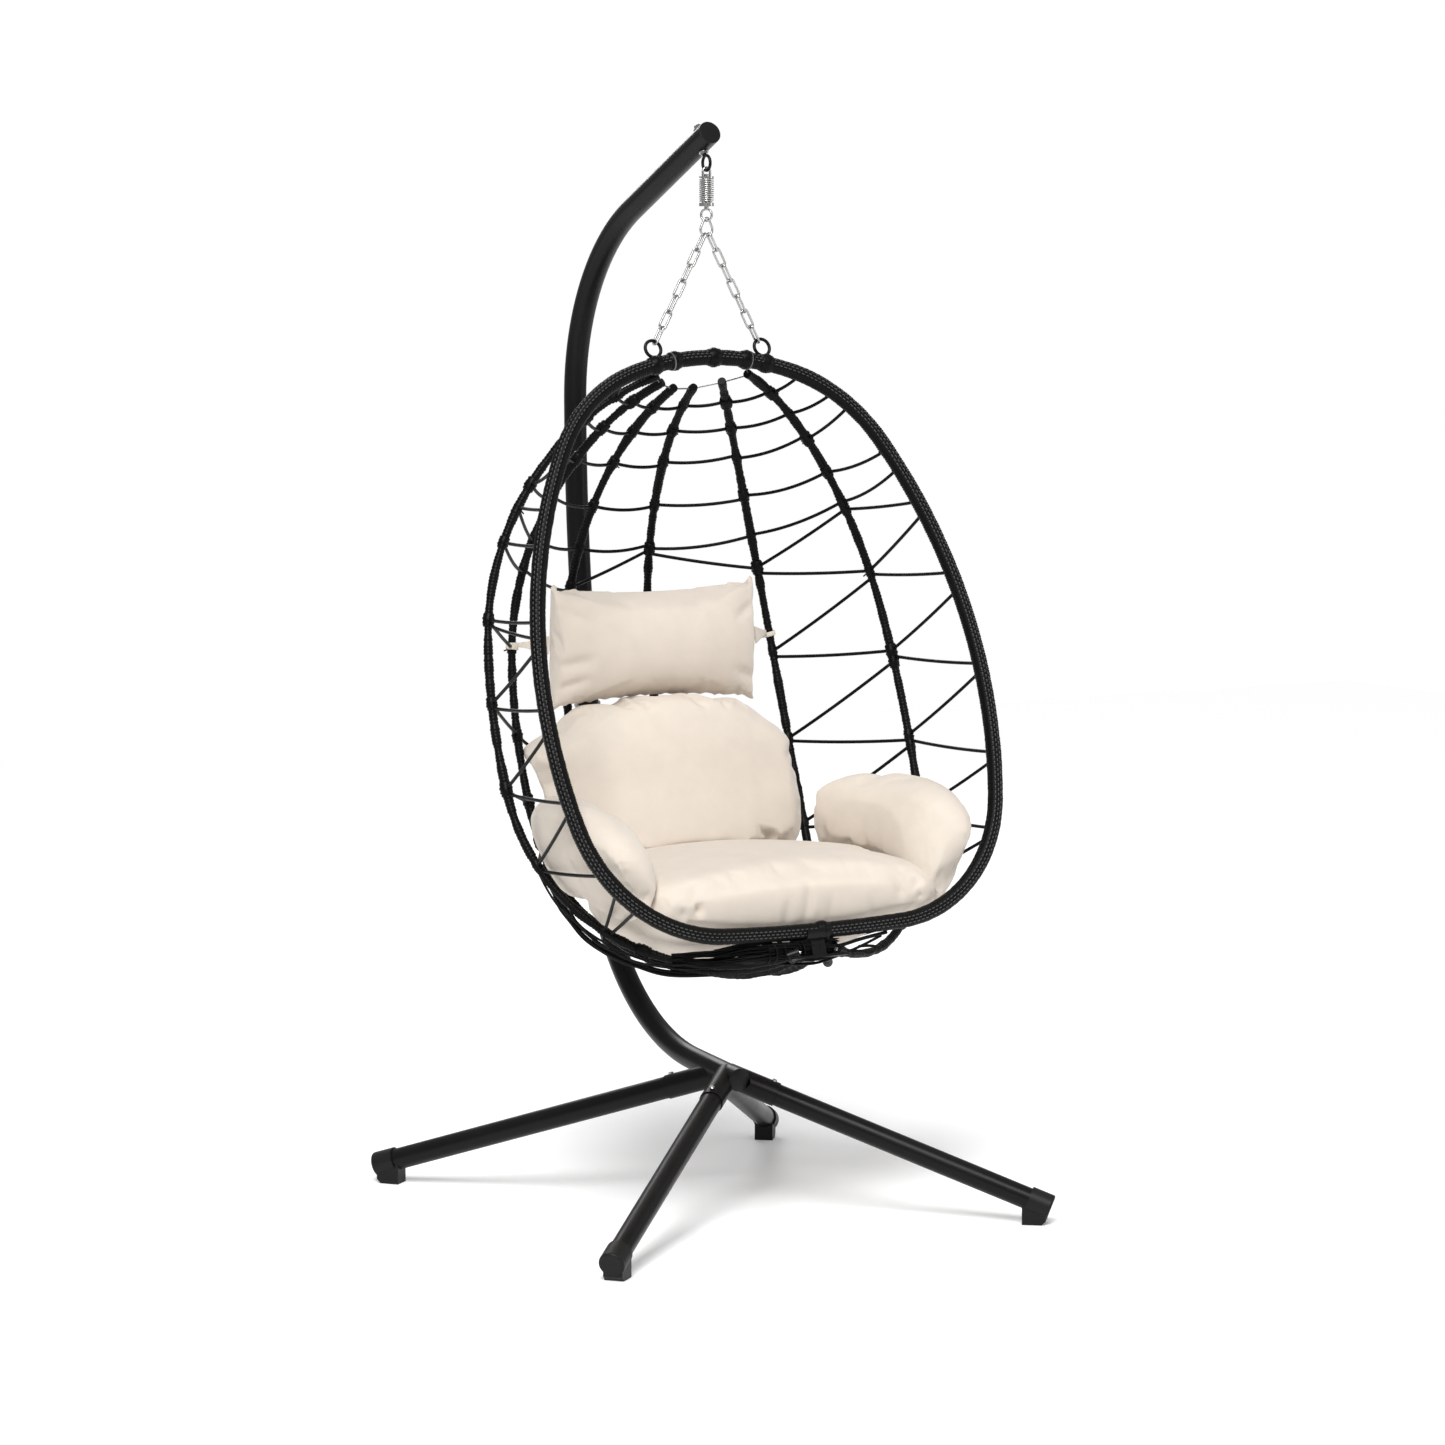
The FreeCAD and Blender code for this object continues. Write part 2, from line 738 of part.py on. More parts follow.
def chain(side):
    """A taut chain from the pear link, with every other link turned edge on."""
    lean = Rotation(Y, math.degrees(-side * chain_splay))
    link = chain_link()
    links = []
    for number in range(chain_links):
        distance = first_link_top + link_length / 2 + number * (link_length - link_overlap)
        centre = on_axis(pear_bottom_centre_z) + lean.multVec(Z) * -distance
        quarter = Rotation(Z, 90 if number % 2 == 0 else 0)
        turned = link.copy()
        turned.Placement = Placement(centre, lean.multiply(quarter))
        links.append(turned)
    return Part.makeCompound(links)


# Basket frame: X across, down along the centre line, and back square to the hoop's plane.

down = Vector(0, -math.sin(rad(hoop_tilt)), -math.cos(rad(hoop_tilt)))
back = Vector(0, math.cos(rad(hoop_tilt)), -math.sin(rad(hoop_tilt)))
hoop_radius = hoop_diameter / 2
hook_on_ring = X * -math.sin(hook_angle) - down * math.cos(hook_angle)
eyelet_centre_y = hang_y - eyelet_mean * hook_on_ring.y
eyelet_centre_z = hook_z - eyelet_mean * hook_on_ring.z
eyelet_hoop_drop = hoop_radii[0] - math.sqrt(hoop_radii[0] ** 2 - (eyelet_spacing / 2) ** 2)
hoop_top = Vector(0, eyelet_centre_y, eyelet_centre_z) + down * (eyelet_rise - eyelet_hoop_drop)


def closing_radius():
    """The last arc's radius, which brings the hoop's outline back to the centre line."""
    headings = (0.0,) + hoop_headings
    width = 0.0
    for radius, first, last in zip(hoop_radii, headings, headings[1:]):
        width += radius * (math.sin(rad(last)) - math.sin(rad(first)))
    return width / math.sin(rad(headings[-1]))


def arc_list(radii, headings):
    return [(radius, first, last)
            for radius, first, last in zip(radii, headings, headings[1:])]


hoop_arcs = arc_list(hoop_radii + (closing_radius(),), (0.0,) + hoop_headings + (180.0,))
rib_arcs = arc_list(rib_radii, (rib_start_heading,) + rib_headings)


def hoop_half_width(drop):
    """How far out the hoop's centre line is at a given drop below its top."""
    out = 0.0
    depth = 0.0
    for radius, first, last in hoop_arcs:
        fall = radius * (math.cos(rad(first)) - math.cos(rad(last)))
        if drop <= depth + fall:
            angle = math.acos(math.cos(rad(first)) - (drop - depth) / radius)
            return out + radius * (math.sin(angle) - math.sin(rad(first)))
        out += radius * (math.sin(rad(last)) - math.sin(rad(first)))
        depth += fall
    return out


def outline_height(arcs):
    return sum(radius * (math.cos(rad(first)) - math.cos(rad(last)))
               for radius, first, last in arcs)


hoop_height = outline_height(hoop_arcs)


def rib_values(kind):
    for name, azimuth, scale in rib_kinds:
        if name == kind:
            return rad(azimuth), scale
    raise ValueError(kind)


def rib_out(kind, side):
    azimuth, _ = rib_values(kind)
    return X * (side * math.cos(azimuth)) + back * math.sin(azimuth)


fan_top = hoop_top + down * rib_fan_drop - back * rib_fan_forward


def hoop():
    """The closed hoop, with its wicker wrap in its diameter."""
    track = Track(hoop_top, X, down, 0)
    for radius, first, last in hoop_arcs:
        track.bend(radius, last - first)
    for radius, first, last in reversed(hoop_arcs):
        track.bend(radius, last - first)
    return sweep_track(track, hoop_top, X, hoop_radius)


def eyelet(side):
    """A wire ring that stands on the hoop, its foot hidden in the wrap."""
    centre = Vector(side * eyelet_spacing / 2, eyelet_centre_y, eyelet_centre_z)
    ring = torus(centre, back, eyelet_diameter, eyelet_wire)
    hoop_centre = hoop_top + down * hoop_radii[0]
    clear = Part.makeTorus(hoop_radii[0], hoop_radius + seat_gap, hoop_centre, back)
    return ring.cut(clear)


rib_radius = rib_diameter / 2


def rib_edges(kind, side):
    """A rib's centre line: the fan's arcs, widened by the rib's own scale and joined smoothly."""
    _, scale = rib_values(kind)
    out = rib_out(kind, side)
    across = rib_start_radius
    drop = 0.0
    edges = []
    for radius, first, last in rib_arcs:
        places = []
        for heading in (first, last):
            angle = rad(heading)
            out_here = across + radius * (math.sin(angle) - math.sin(rad(first)))
            drop_here = drop + radius * (math.cos(rad(first)) - math.cos(angle))
            way = out * (scale * math.cos(angle)) + down * math.sin(angle)
            places += [fan_top + out * (out_here * scale) + down * drop_here, way.normalize()]
        edges += biarc(*places)
        across = out_here
        drop = drop_here
    return edges, places[2], places[3]


ribs = [(kind, side) for side in (-1, 1) for kind, _, _ in rib_kinds]
ribs_round_the_fan = ribs[:3] + ribs[:2:-1]
rib_paths = {rib: rib_edges(*rib)[0] for rib in ribs}


def drop_of(point):
    return (point - hoop_top).dot(down)


def frame_point(member, drop):
    """A point on the centre line of the hoop or of a rib, by its drop below the hoop's top."""
    kind, side = member
    if kind == "hoop":
        return hoop_top + down * drop + X * (side * hoop_half_width(drop))
    edge = next(edge for edge in rib_paths[member] if drop_of(edge.valueAt(edge.LastParameter)) >= drop)
    above, below = edge.ParameterRange
    for _ in range(40):
        middle = (above + below) / 2
        if drop_of(edge.valueAt(middle)) < drop:
            above = middle
        else:
            below = middle
    return edge.valueAt(middle)


def rib_start_way(kind, side):
    _, scale = rib_values(kind)
    angle = rad(rib_start_heading)
    way = rib_out(kind, side) * (scale * math.cos(angle)) + down * math.sin(angle)
    return way.normalize()


def rib_start(kind, side):
    _, scale = rib_values(kind)
    return fan_top + rib_out(kind, side) * (rib_start_radius * scale)


# Cable: straight between the ribs' drilled ends, and looped round the hoop at each side.

cable_radius = cable_diameter / 2


def cable_loop(side):
    """The middle of a loop round the hoop, the hoop's direction there, and where the run meets it."""
    turn = math.degrees(math.asin(cable_hoop_x / hoop_radii[0]))
    track = Track(hoop_top, X * side, down, 0).bend(hoop_radii[0], turn)
    centre = track.here()
    way = track.direction()
    toward = cable_hole(("side", side)) - centre
    toward = toward - way * toward.dot(way)
    reach = hoop_radius + seat_gap + cable_diameter
    return centre, way, centre + toward.normalize() * reach


def cable_hole(rib):
    return rib_start(*rib) + rib_start_way(*rib) * cable_hole_inset


def cable_runs():
    points = [cable_loop(-1)[2]]
    points += [cable_hole(rib) for rib in ribs_round_the_fan]
    points.append(cable_loop(1)[2])
    return list(zip(points, points[1:]))


def cord_ring(centre, way, inner_radius, wire):
    """A loop of cord round a bar, with six flat sides like the straight cords."""
    turned = Rotation(Z, way)
    middle = inner_radius + wire / 2
    corners = []
    for corner in range(7):
        angle = rad(60 * corner + 30)
        out = middle + wire / math.sqrt(3) * math.cos(angle)
        corners.append(centre + turned.multVec(Vector(out, 0, wire / math.sqrt(3) * math.sin(angle))))
    return Part.Face(Part.makePolygon(corners)).revolve(centre, way, 360)


def rib_top_cable():
    pieces = []
    for begin, finish in cable_runs():
        way = (finish - begin).normalize()
        pieces.append(hexagon(begin - way * cable_radius, way, cable_diameter,
                              (finish - begin).Length + cable_diameter))
    for _, side in SIDES:
        centre, way, _ = cable_loop(side)
        pieces.append(cord_ring(centre, way, hoop_radius + seat_gap, cable_diameter))
    return pieces[0].fuse(pieces[1:]).removeSplitter()


def rib(kind, side):
    """A bent rod, drilled at the top for the cable and at the bottom for its screw."""
    edges, end, end_way = rib_edges(kind, side)
    body = sweep(edges, rib_start(kind, side), rib_start_way(kind, side), rib_radius)
    tools = []
    for begin, finish in cable_runs():
        middle = cable_hole((kind, side))
        if min((begin - middle).Length, (finish - middle).Length) < 0.01:
            way = (finish - begin).normalize() * cable_diameter
            tools.append(rod_between(begin - way, finish + way, cable_radius + cable_hole_clearance))
    tools.append(cylinder(end, end_way * -1, hub_screw_diameter / 2 + hole_clearance,
                          hub_screw_length))
    return body.cut(tools)


# Hub bracket: sockets for the six lower ends on a plate that hangs from the hoop.


def rib_end(kind, side):
    _, end, way = rib_edges(kind, side)
    return end, way


def rib_hub():
    socket_bore = rib_radius + socket_clearance
    socket_radius = socket_bore + socket_wall
    end_drop = (rib_end("side", 1)[0] - fan_top).dot(down)
    plate_top = fan_top + down * (end_drop + hub_plate_drop)
    solids = []
    bores = []
    reaches = []
    for kind, side in ribs:
        end, way = rib_end(kind, side)
        reaches.append((end - fan_top - down * end_drop).Length)
        floor = end + way * (seat_gap + socket_floor)
        solids.append(cylinder(floor, way * -1, socket_radius,
                               socket_floor + seat_gap + socket_depth))
        bores.append(cylinder(end + way * seat_gap, way * -1, socket_bore, 2 * socket_depth))
        bores.append(cylinder(floor + way, way * -1, hub_screw_diameter / 2 + hole_clearance,
                              2 * socket_floor))
    plate_radius = max(reaches) + hub_plate_rim
    disc = cylinder(plate_top, down, plate_radius, hub_plate_thickness)
    front = plate_top + back * (rib_fan_forward - hub_riser_depth / 2)
    keep = box_from(front - X * plate_radius, X * (2 * plate_radius),
                    back * plate_radius, down * hub_plate_thickness)
    solids.append(disc.common(keep))
    hoop_bottom = hoop_top + down * hoop_height
    riser_height = (plate_top - hoop_bottom).dot(down) + hub_plate_thickness
    corner = hoop_bottom - X * (hub_riser_width / 2) - back * (hub_riser_depth / 2)
    solids.append(box_from(corner, X * hub_riser_width, back * hub_riser_depth,
                           down * riser_height))
    half_saddle = hub_saddle_width / 2
    outer = cylinder(hoop_bottom - X * half_saddle, X, hoop_radius + hub_saddle_wall,
                     hub_saddle_width)
    reach = hoop_radius + hub_saddle_wall
    lower_half = box_from(hoop_bottom - X * half_saddle - back * reach, X * hub_saddle_width,
                          back * (2 * reach), down * reach)
    solids.append(outer.common(lower_half))
    bores.append(cylinder(hoop_bottom - X * hub_saddle_width, X, hoop_radius + seat_gap,
                          2 * hub_saddle_width))
    return solids[0].fuse(solids[1:]).removeSplitter().cut(bores)


def box_from(corner, along, across, upward):
    """A box by one corner and its three edges."""
    outline = [corner, corner + along, corner + along + across, corner + across, corner]
    return Part.Face(Part.makePolygon(outline)).extrude(upward)


def hub_screws():
    """One screw through each socket's floor into the end of its rib."""
    screws = []
    for kind, side in ribs:
        end, way = rib_end(kind, side)
        head_start = end + way * (2 * seat_gap + socket_floor)
        head = cylinder(head_start, way, hub_screw_head / 2, hub_screw_head_height)
        head = head.makeChamfer(hub_screw_head_height / 2, [top_edge(head, head_start, way)])
        shank = cylinder(head_start, way * -1, hub_screw_diameter / 2,
                         hub_screw_length + socket_floor)
        screws.append(solid_sum(head, shank))
    return Part.makeCompound(screws)


# Net: taut cords between the hoop and the ribs.


def member_radius(member):
    return hoop_radius if member[0] == "hoop" else rib_radius


def cord_end(member, drop, toward):
    """Where a cord stops short of the round bar that it is tied to."""
    centre = frame_point(member, drop)
    step = 2.0
    along = frame_point(member, drop + step) - frame_point(member, drop - step)
    way = toward - centre
    way.normalize()
    cosine = abs(way.dot(along.normalize()))
    sine = math.sqrt(1 - cosine ** 2)
    return centre + way * ((member_radius(member) + cord_gap + cord_radius * cosine) / sine)


cord_radius = cord_diameter / 2


def net_bay(first, second, ties):
    cords = []
    for first_drop, second_drop in ties:
        start = cord_end(first, first_drop, frame_point(second, second_drop))
        end = cord_end(second, second_drop, frame_point(first, first_drop))
        span = end - start
        cords.append(hexagon(start, span.normalize(), cord_diameter, (end - start).Length))
    return Part.makeCompound(cords)


# Cushions: lofts through arcs, measured from the top of the hoop.


def from_hoop(x, y, z):
    return hoop_top + Vector(x, y, z)


def arc_loop(*points):
    """A closed outline of arcs, by corners and the points between them in turn."""
    closed = list(points) + [points[0]]
    arcs = []
    for index in range(0, len(points), 2):
        arcs.append(Part.Arc(closed[index], closed[index + 1], closed[index + 2]).toShape())
    return Part.Wire(arcs)


def loft(sections):
    return Part.makeLoft(sections, True, False)


def seat_cushion(grow=0.0):
    outlines = []
    for y, half, top, side_bottom, bottom, swell in seat_sections:
        half = half + grow
        edge = top - seat_edge_drop + grow
        low = side_bottom - grow
        middle = (edge + low) / 2
        outlines.append(arc_loop(
            from_hoop(half, y, edge), from_hoop(0, y, top + grow),
            from_hoop(-half, y, edge), from_hoop(-half - swell, y, middle),
            from_hoop(-half, y, low), from_hoop(0, y, bottom - grow),
            from_hoop(half, y, low), from_hoop(half + swell, y, middle)))
    return loft(outlines)


def back_cushion(grow=0.0):
    outlines = []
    for z, y, half, thick, swell in back_sections:
        half = half + grow
        thick = thick + grow
        outlines.append(arc_loop(
            from_hoop(half, y - thick, z), from_hoop(0, y - thick - swell, z),
            from_hoop(-half, y - thick, z), from_hoop(-half - back_side_swell, y, z),
            from_hoop(-half, y + thick, z), from_hoop(0, y + thick + swell, z),
            from_hoop(half, y + thick, z), from_hoop(half + back_side_swell, y, z)))
    return loft(outlines)


def arm_cushion(side):
    outlines = []
    for y, low_in, low_out, low_in_z, low_out_z, top_in, top_out, top_in_z, top_out_z, swell \
            in arm_sections:
        outlines.append(arc_loop(
            from_hoop(side * low_in, y, low_in_z),
            from_hoop(side * (low_in + low_out) / 2, y, min(low_in_z, low_out_z) - swell / 2),
            from_hoop(side * low_out, y, low_out_z),
            from_hoop(side * ((low_out + top_out) / 2 + swell), y, (low_out_z + top_out_z) / 2),
            from_hoop(side * top_out, y, top_out_z),
            from_hoop(side * (top_in + top_out) / 2, y, max(top_in_z, top_out_z) + 2 * swell),
            from_hoop(side * top_in, y, top_in_z),
            from_hoop(side * ((low_in + top_in) / 2 - swell), y, (low_in_z + top_in_z) / 2)))
    return loft(outlines).cut([seat_cushion(cushion_gap), back_cushion(cushion_gap)])


def head_pillow():
    outlines = []
    for x, half_height, half_thick in pillow_sections:
        outlines.append(arc_loop(
            from_hoop(x, pillow_y, pillow_z + half_height),
            from_hoop(x, pillow_y - half_thick, pillow_z),
            from_hoop(x, pillow_y, pillow_z - half_height),
            from_hoop(x, pillow_y + half_thick, pillow_z)))
    return loft(outlines)


def pillow_tie(side):
    """A fabric tie from the pillow's side seam, looped round the middle rib."""
    rib_name = ("middle", side)
    centre = frame_point(rib_name, tie_drop)
    step = 2.0
    along = frame_point(rib_name, tie_drop + step) - frame_point(rib_name, tie_drop - step)
    mean = rib_radius + seat_gap + tie_width / 2
    loop = cord_ring(centre, along, rib_radius + seat_gap, tie_width)
    seam = from_hoop(side * (pillow_sections[-1][0] + tie_end_gap), pillow_y, centre.z - hoop_top.z)
    toward = seam - centre
    toward = toward - along * (toward.dot(along) / along.dot(along))
    meet = centre + toward.normalize() * mean
    strap = hexagon(meet, (seam - meet).normalize(), tie_width, (seam - meet).Length)
    return solid_sum(loop, strap)


# All pieces, by the name of the file that each goes to.


def build():
    pieces = {
        "lower_post": lower_post(),
        "upper_post": upper_post(),
        "post_joint_bolts": post_joint_bolts(),
        "leg_screws": leg_screws(),
        "base_end_cap": tube_plug(base_start, base_direction * -1, True),
        "arm_end_cap": tube_plug(arm_tip, arm_direction, False),
        "eye_bolt": eye_bolt(),
        "eye_bolt_nuts": eye_bolt_nuts(),
        "hanger_yoke": hanger_yoke(),
        "spring_coil": spring_coil(),
        "spring_base_plate": hanger_disc(
            coil_bottom, plate_thickness, yoke_wire / 2 + grip_clearance,
            stem_diameter / 2 + slide_clearance),
        "spring_seat": hanger_disc(
            washer_top, washer_thickness, yoke_wire / 2 + slide_clearance,
            stem_diameter / 2 + spindle_clearance),
        "swivel_eye": swivel_eye(),
        "swivel_nut": swivel_nut(),
        "pear_link": pear_link(),
        "hoop": hoop(),
        "rib_top_cable": rib_top_cable(),
        "rib_hub": rib_hub(),
        "hub_screws": hub_screws(),
        "seat_cushion": seat_cushion(),
        "back_cushion": back_cushion().cut(seat_cushion(cushion_gap)),
        "head_pillow": head_pillow(),
    }
    for leg in legs:
        pieces["leg_" + leg.name] = leg_tube(leg)
        pieces["foot_" + leg.name] = foot(leg)
    for name, side in SIDES:
        pieces["chain_" + name] = chain(side)
        pieces["eyelet_" + name] = eyelet(side)
        pieces["arm_cushion_" + name] = arm_cushion(side)
        pieces["pillow_tie_" + name] = pillow_tie(side)
        for kind, _, _ in rib_kinds:
            pieces["rib_" + kind + "_" + name] = rib(kind, side)
    for name, first, second, ties in net_bays:
        pieces[name] = net_bay(first, second, ties)
    return pieces


def footprint_shift(pieces):
    """How far to move everything along Y, so that the origin is the middle of the footprint."""
    ends = []
    for name in ("foot_front_left", "foot_rear_left", "upper_post"):
        box = pieces[name].optimalBoundingBox(False, False)
        ends += [box.YMin, box.YMax]
    return Vector(0, -(min(ends) + max(ends)) / 2, 0)


def main():
    pieces = build()
    shift = footprint_shift(pieces)
    os.makedirs("parts", exist_ok=True)
    for name, shape in pieces.items():
        moved = shape.copy()
        moved.translate(shift)
        moved.exportStep("parts/" + name + ".step")
        print("%-20s %3d solids %s" % (name, len(moved.Solids), "valid" if moved.isValid() else "INVALID"))
    print("least gap between turns of the coil: %.2f mm" % coil_self_gap())
    places = {
        "yoke top": on_axis(yoke_top),
        "swivel eye": on_axis(swivel_contact_z),
        "eyelet hooks": on_axis(hook_z),
        "coil bottom": on_axis(coil_bottom),
        "hoop top": hoop_top,
        "front foot": legs[0].foot,
        "rear foot": legs[1].foot,
    }
    for name, place in places.items():
        moved = place + shift
        print("%-12s %9.3f %9.3f %9.3f" % (name, moved.x, moved.y, moved.z))


main()
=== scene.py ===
import math
import random

import bmesh
import bpy
import numpy as np
from mathutils import Matrix, Vector


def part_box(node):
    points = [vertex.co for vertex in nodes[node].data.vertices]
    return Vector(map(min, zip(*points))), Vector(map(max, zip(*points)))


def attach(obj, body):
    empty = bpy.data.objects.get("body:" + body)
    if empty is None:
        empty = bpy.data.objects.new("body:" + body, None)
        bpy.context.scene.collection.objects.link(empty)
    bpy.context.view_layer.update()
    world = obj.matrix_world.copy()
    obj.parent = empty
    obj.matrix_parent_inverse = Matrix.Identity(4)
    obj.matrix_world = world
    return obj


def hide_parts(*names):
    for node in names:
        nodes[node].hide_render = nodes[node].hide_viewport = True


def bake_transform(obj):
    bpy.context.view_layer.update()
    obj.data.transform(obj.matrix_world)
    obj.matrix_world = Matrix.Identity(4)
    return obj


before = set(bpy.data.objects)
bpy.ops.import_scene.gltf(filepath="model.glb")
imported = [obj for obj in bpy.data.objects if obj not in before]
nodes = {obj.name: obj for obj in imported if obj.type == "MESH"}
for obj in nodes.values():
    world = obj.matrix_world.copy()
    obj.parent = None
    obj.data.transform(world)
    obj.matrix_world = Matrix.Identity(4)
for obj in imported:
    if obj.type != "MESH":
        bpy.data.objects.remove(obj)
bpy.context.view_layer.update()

# Ground, light and camera: a pale studio floor, three large soft lamps, a soft sun and a sky.
# The camera stands to the left of the chair's front, at eye height, with a long lens.
camera_turn = math.radians(-30.459)
camera_rise = math.radians(6.215)
camera_distance = 8.1267
camera_target = Vector((0.0022, -0.0743, 0.8863))
focal_pixels = 4550.17
photo_pixels = 1445
sensor_width = 36.0
floor_half = 7.0
lamps = (("key_lamp", (-3.2, -3.6, 4.2), 1.3, 110.0), ("fill_lamp", (4.2, -3.0, 2.6), 2.2, 45.0),
         ("rim_lamp", (1.5, 4.5, 3.6), 2.0, 70.0))
sun_way = Vector((0.42, 0.62, -1.0))
sun_power = 2.4
sun_spread = math.radians(24.0)


def add_object(name, data):
    made = bpy.data.objects.new(name, data)
    bpy.context.scene.collection.objects.link(made)
    return made


def add_mesh(name, points, edges, faces):
    mesh = bpy.data.meshes.new(name)
    mesh.from_pydata([tuple(point) for point in points], edges, faces)
    return add_object(name, mesh)


def add_lamp(name, kind, way, power, **settings):
    """A lamp that shines along a direction."""
    lamp = bpy.data.lights.new(name, kind)
    lamp.energy = power
    for key, value in settings.items():
        setattr(lamp, key, value)
    holder = add_object(name, lamp)
    holder.rotation_euler = way.to_track_quat("-Z", "Y").to_euler()
    return holder


camera_data = bpy.data.cameras.new("camera")
camera_data.sensor_width = sensor_width
camera_data.lens = focal_pixels / photo_pixels * sensor_width
camera_data.clip_end = 100.0
camera = add_object("camera", camera_data)
looking = Vector((-math.sin(camera_turn) * math.cos(camera_rise),
                  math.cos(camera_turn) * math.cos(camera_rise),
                  -math.sin(camera_rise)))
camera.location = camera_target - looking * camera_distance
camera.rotation_euler = (math.pi / 2 - camera_rise, 0.0, camera_turn)
bpy.context.scene.camera = camera
bpy.context.scene.view_settings.view_transform = "Standard"

floor_corners = [(x * floor_half, y * floor_half, 0)
                 for x, y in ((-1, -1), (1, -1), (1, 1), (-1, 1))]
floor = add_mesh("floor", floor_corners, [], [(0, 1, 2, 3)])

for lamp_name, lamp_place, lamp_size, lamp_power in lamps:
    add_lamp(lamp_name, "AREA", camera_target - Vector(lamp_place), lamp_power,
             size=lamp_size).location = lamp_place
add_lamp("daylight", "SUN", sun_way, sun_power, angle=sun_spread)

# Sky: white where the camera sees it, and dimmer as a light, so that the black coat stays deep.
white = (1.0, 1.0, 1.0, 1.0)
sky_as_light = 0.36


def add_node(tree, kind, values=None, out=0, **settings):
    """One output of a new node, whose inputs are numbers, colours or other nodes' outputs."""
    node = tree.nodes.new(kind)
    for name, value in settings.items():
        setattr(node, name, value)
    for key, value in (values or {}).items():
        if isinstance(value, bpy.types.NodeSocket):
            tree.links.new(value, node.inputs[key])
        else:
            node.inputs[key].default_value = value
    return node.outputs[out]


def remap(tree, value, low, high, new_low=0.0, new_high=1.0):
    """A value stretched from one range to another and held at both ends."""
    return add_node(tree, "ShaderNodeMapRange",
                    {"Value": value, "From Min": low, "From Max": high,
                     "To Min": new_low, "To Max": new_high})


def mixed(tree, share, first, second):
    return add_node(tree, "ShaderNodeMix", {"Factor": share, 6: first, 7: second}, 2,
                    data_type="RGBA")


def new_finish(name, **constants):
    """A material with one Principled shader, and the constants set on the shader's sockets."""
    finish = bpy.data.materials.new(name)
    finish.use_nodes = True
    shader = finish.node_tree.nodes["Principled BSDF"]
    for key, value in constants.items():
        shader.inputs[key.replace("_", " ")].default_value = value
    return finish, finish.node_tree, shader


sky = bpy.data.worlds.new("white_sky")
sky.use_nodes = True
sky_seen = add_node(sky.node_tree, "ShaderNodeLightPath", out="Is Camera Ray")
background = sky.node_tree.nodes["Background"].inputs
sky.node_tree.links.new(remap(sky.node_tree, sky_seen, 0.0, 1.0, sky_as_light, 1.0),
                        background["Strength"])
background["Color"].default_value = white
bpy.context.scene.world = sky

floor_finish, floor_tree, floor_shader = new_finish(
    "pale_floor", Roughness=0.7, Specular_IOR_Level=0.2, Emission_Color=white,
    Emission_Strength=0.1)
floor_noise = add_node(floor_tree, "ShaderNodeTexNoise", {"Scale": 0.7, "Detail": 2.0})
floor_tone = mixed(floor_tree, floor_noise, (0.93, 0.93, 0.93, 1.0), (0.95, 0.95, 0.95, 1.0))
floor_tree.links.new(floor_tone, floor_shader.inputs["Base Color"])
floor.data.materials.append(floor_finish)

# Stand: bent and straight round steel tubes, welded and then powder coated in a satin black.
# The coat has a fine orange peel, a slightly uneven tone and a little dust on what faces up.
dust_colour = (0.42, 0.4, 0.37, 1.0)
colour_socket, vector_socket = "NodeSocketColor", "NodeSocketVector"


def maths(tree, operation, *terms):
    return add_node(tree, "ShaderNodeMath", dict(enumerate(terms)), operation=operation)


def vector_maths(tree, operation, *terms, out=0, **named):
    return add_node(tree, "ShaderNodeVectorMath", dict(enumerate(terms)) | named, out,
                    operation=operation)


def noise(tree, place, scale, detail, **more):
    return add_node(tree, "ShaderNodeTexNoise",
                    {"Vector": place, "Scale": scale, "Detail": detail, **more})


def bump(tree, height, strength, distance, **more):
    return add_node(tree, "ShaderNodeBump",
                    {"Height": height, "Strength": strength, "Distance": distance, **more})


def new_tree(name, kind, inputs, outputs):
    """A node tree and its inputs. Each input has its start value, or else its kind as text."""
    tree = bpy.data.node_groups.new(name, kind)
    kinds = {float: "NodeSocketFloat", int: "NodeSocketInt", 3: vector_socket, 4: colour_socket}
    for label, start in inputs.items():
        key = len(start) if isinstance(start, tuple) else type(start)
        socket = tree.interface.new_socket(label, in_out="INPUT",
                                           socket_type=kinds.get(key, start))
        if key in kinds:
            socket.default_value = start
    for label, socket_kind in outputs.items():
        tree.interface.new_socket(label, in_out="OUTPUT", socket_type=socket_kind)
    return tree, tree.nodes.new("NodeGroupInput").outputs


def give_out(tree, **results):
    ends = tree.nodes.new("NodeGroupOutput").inputs
    for label, result in results.items():
        tree.links.new(result, ends[label])
    return tree


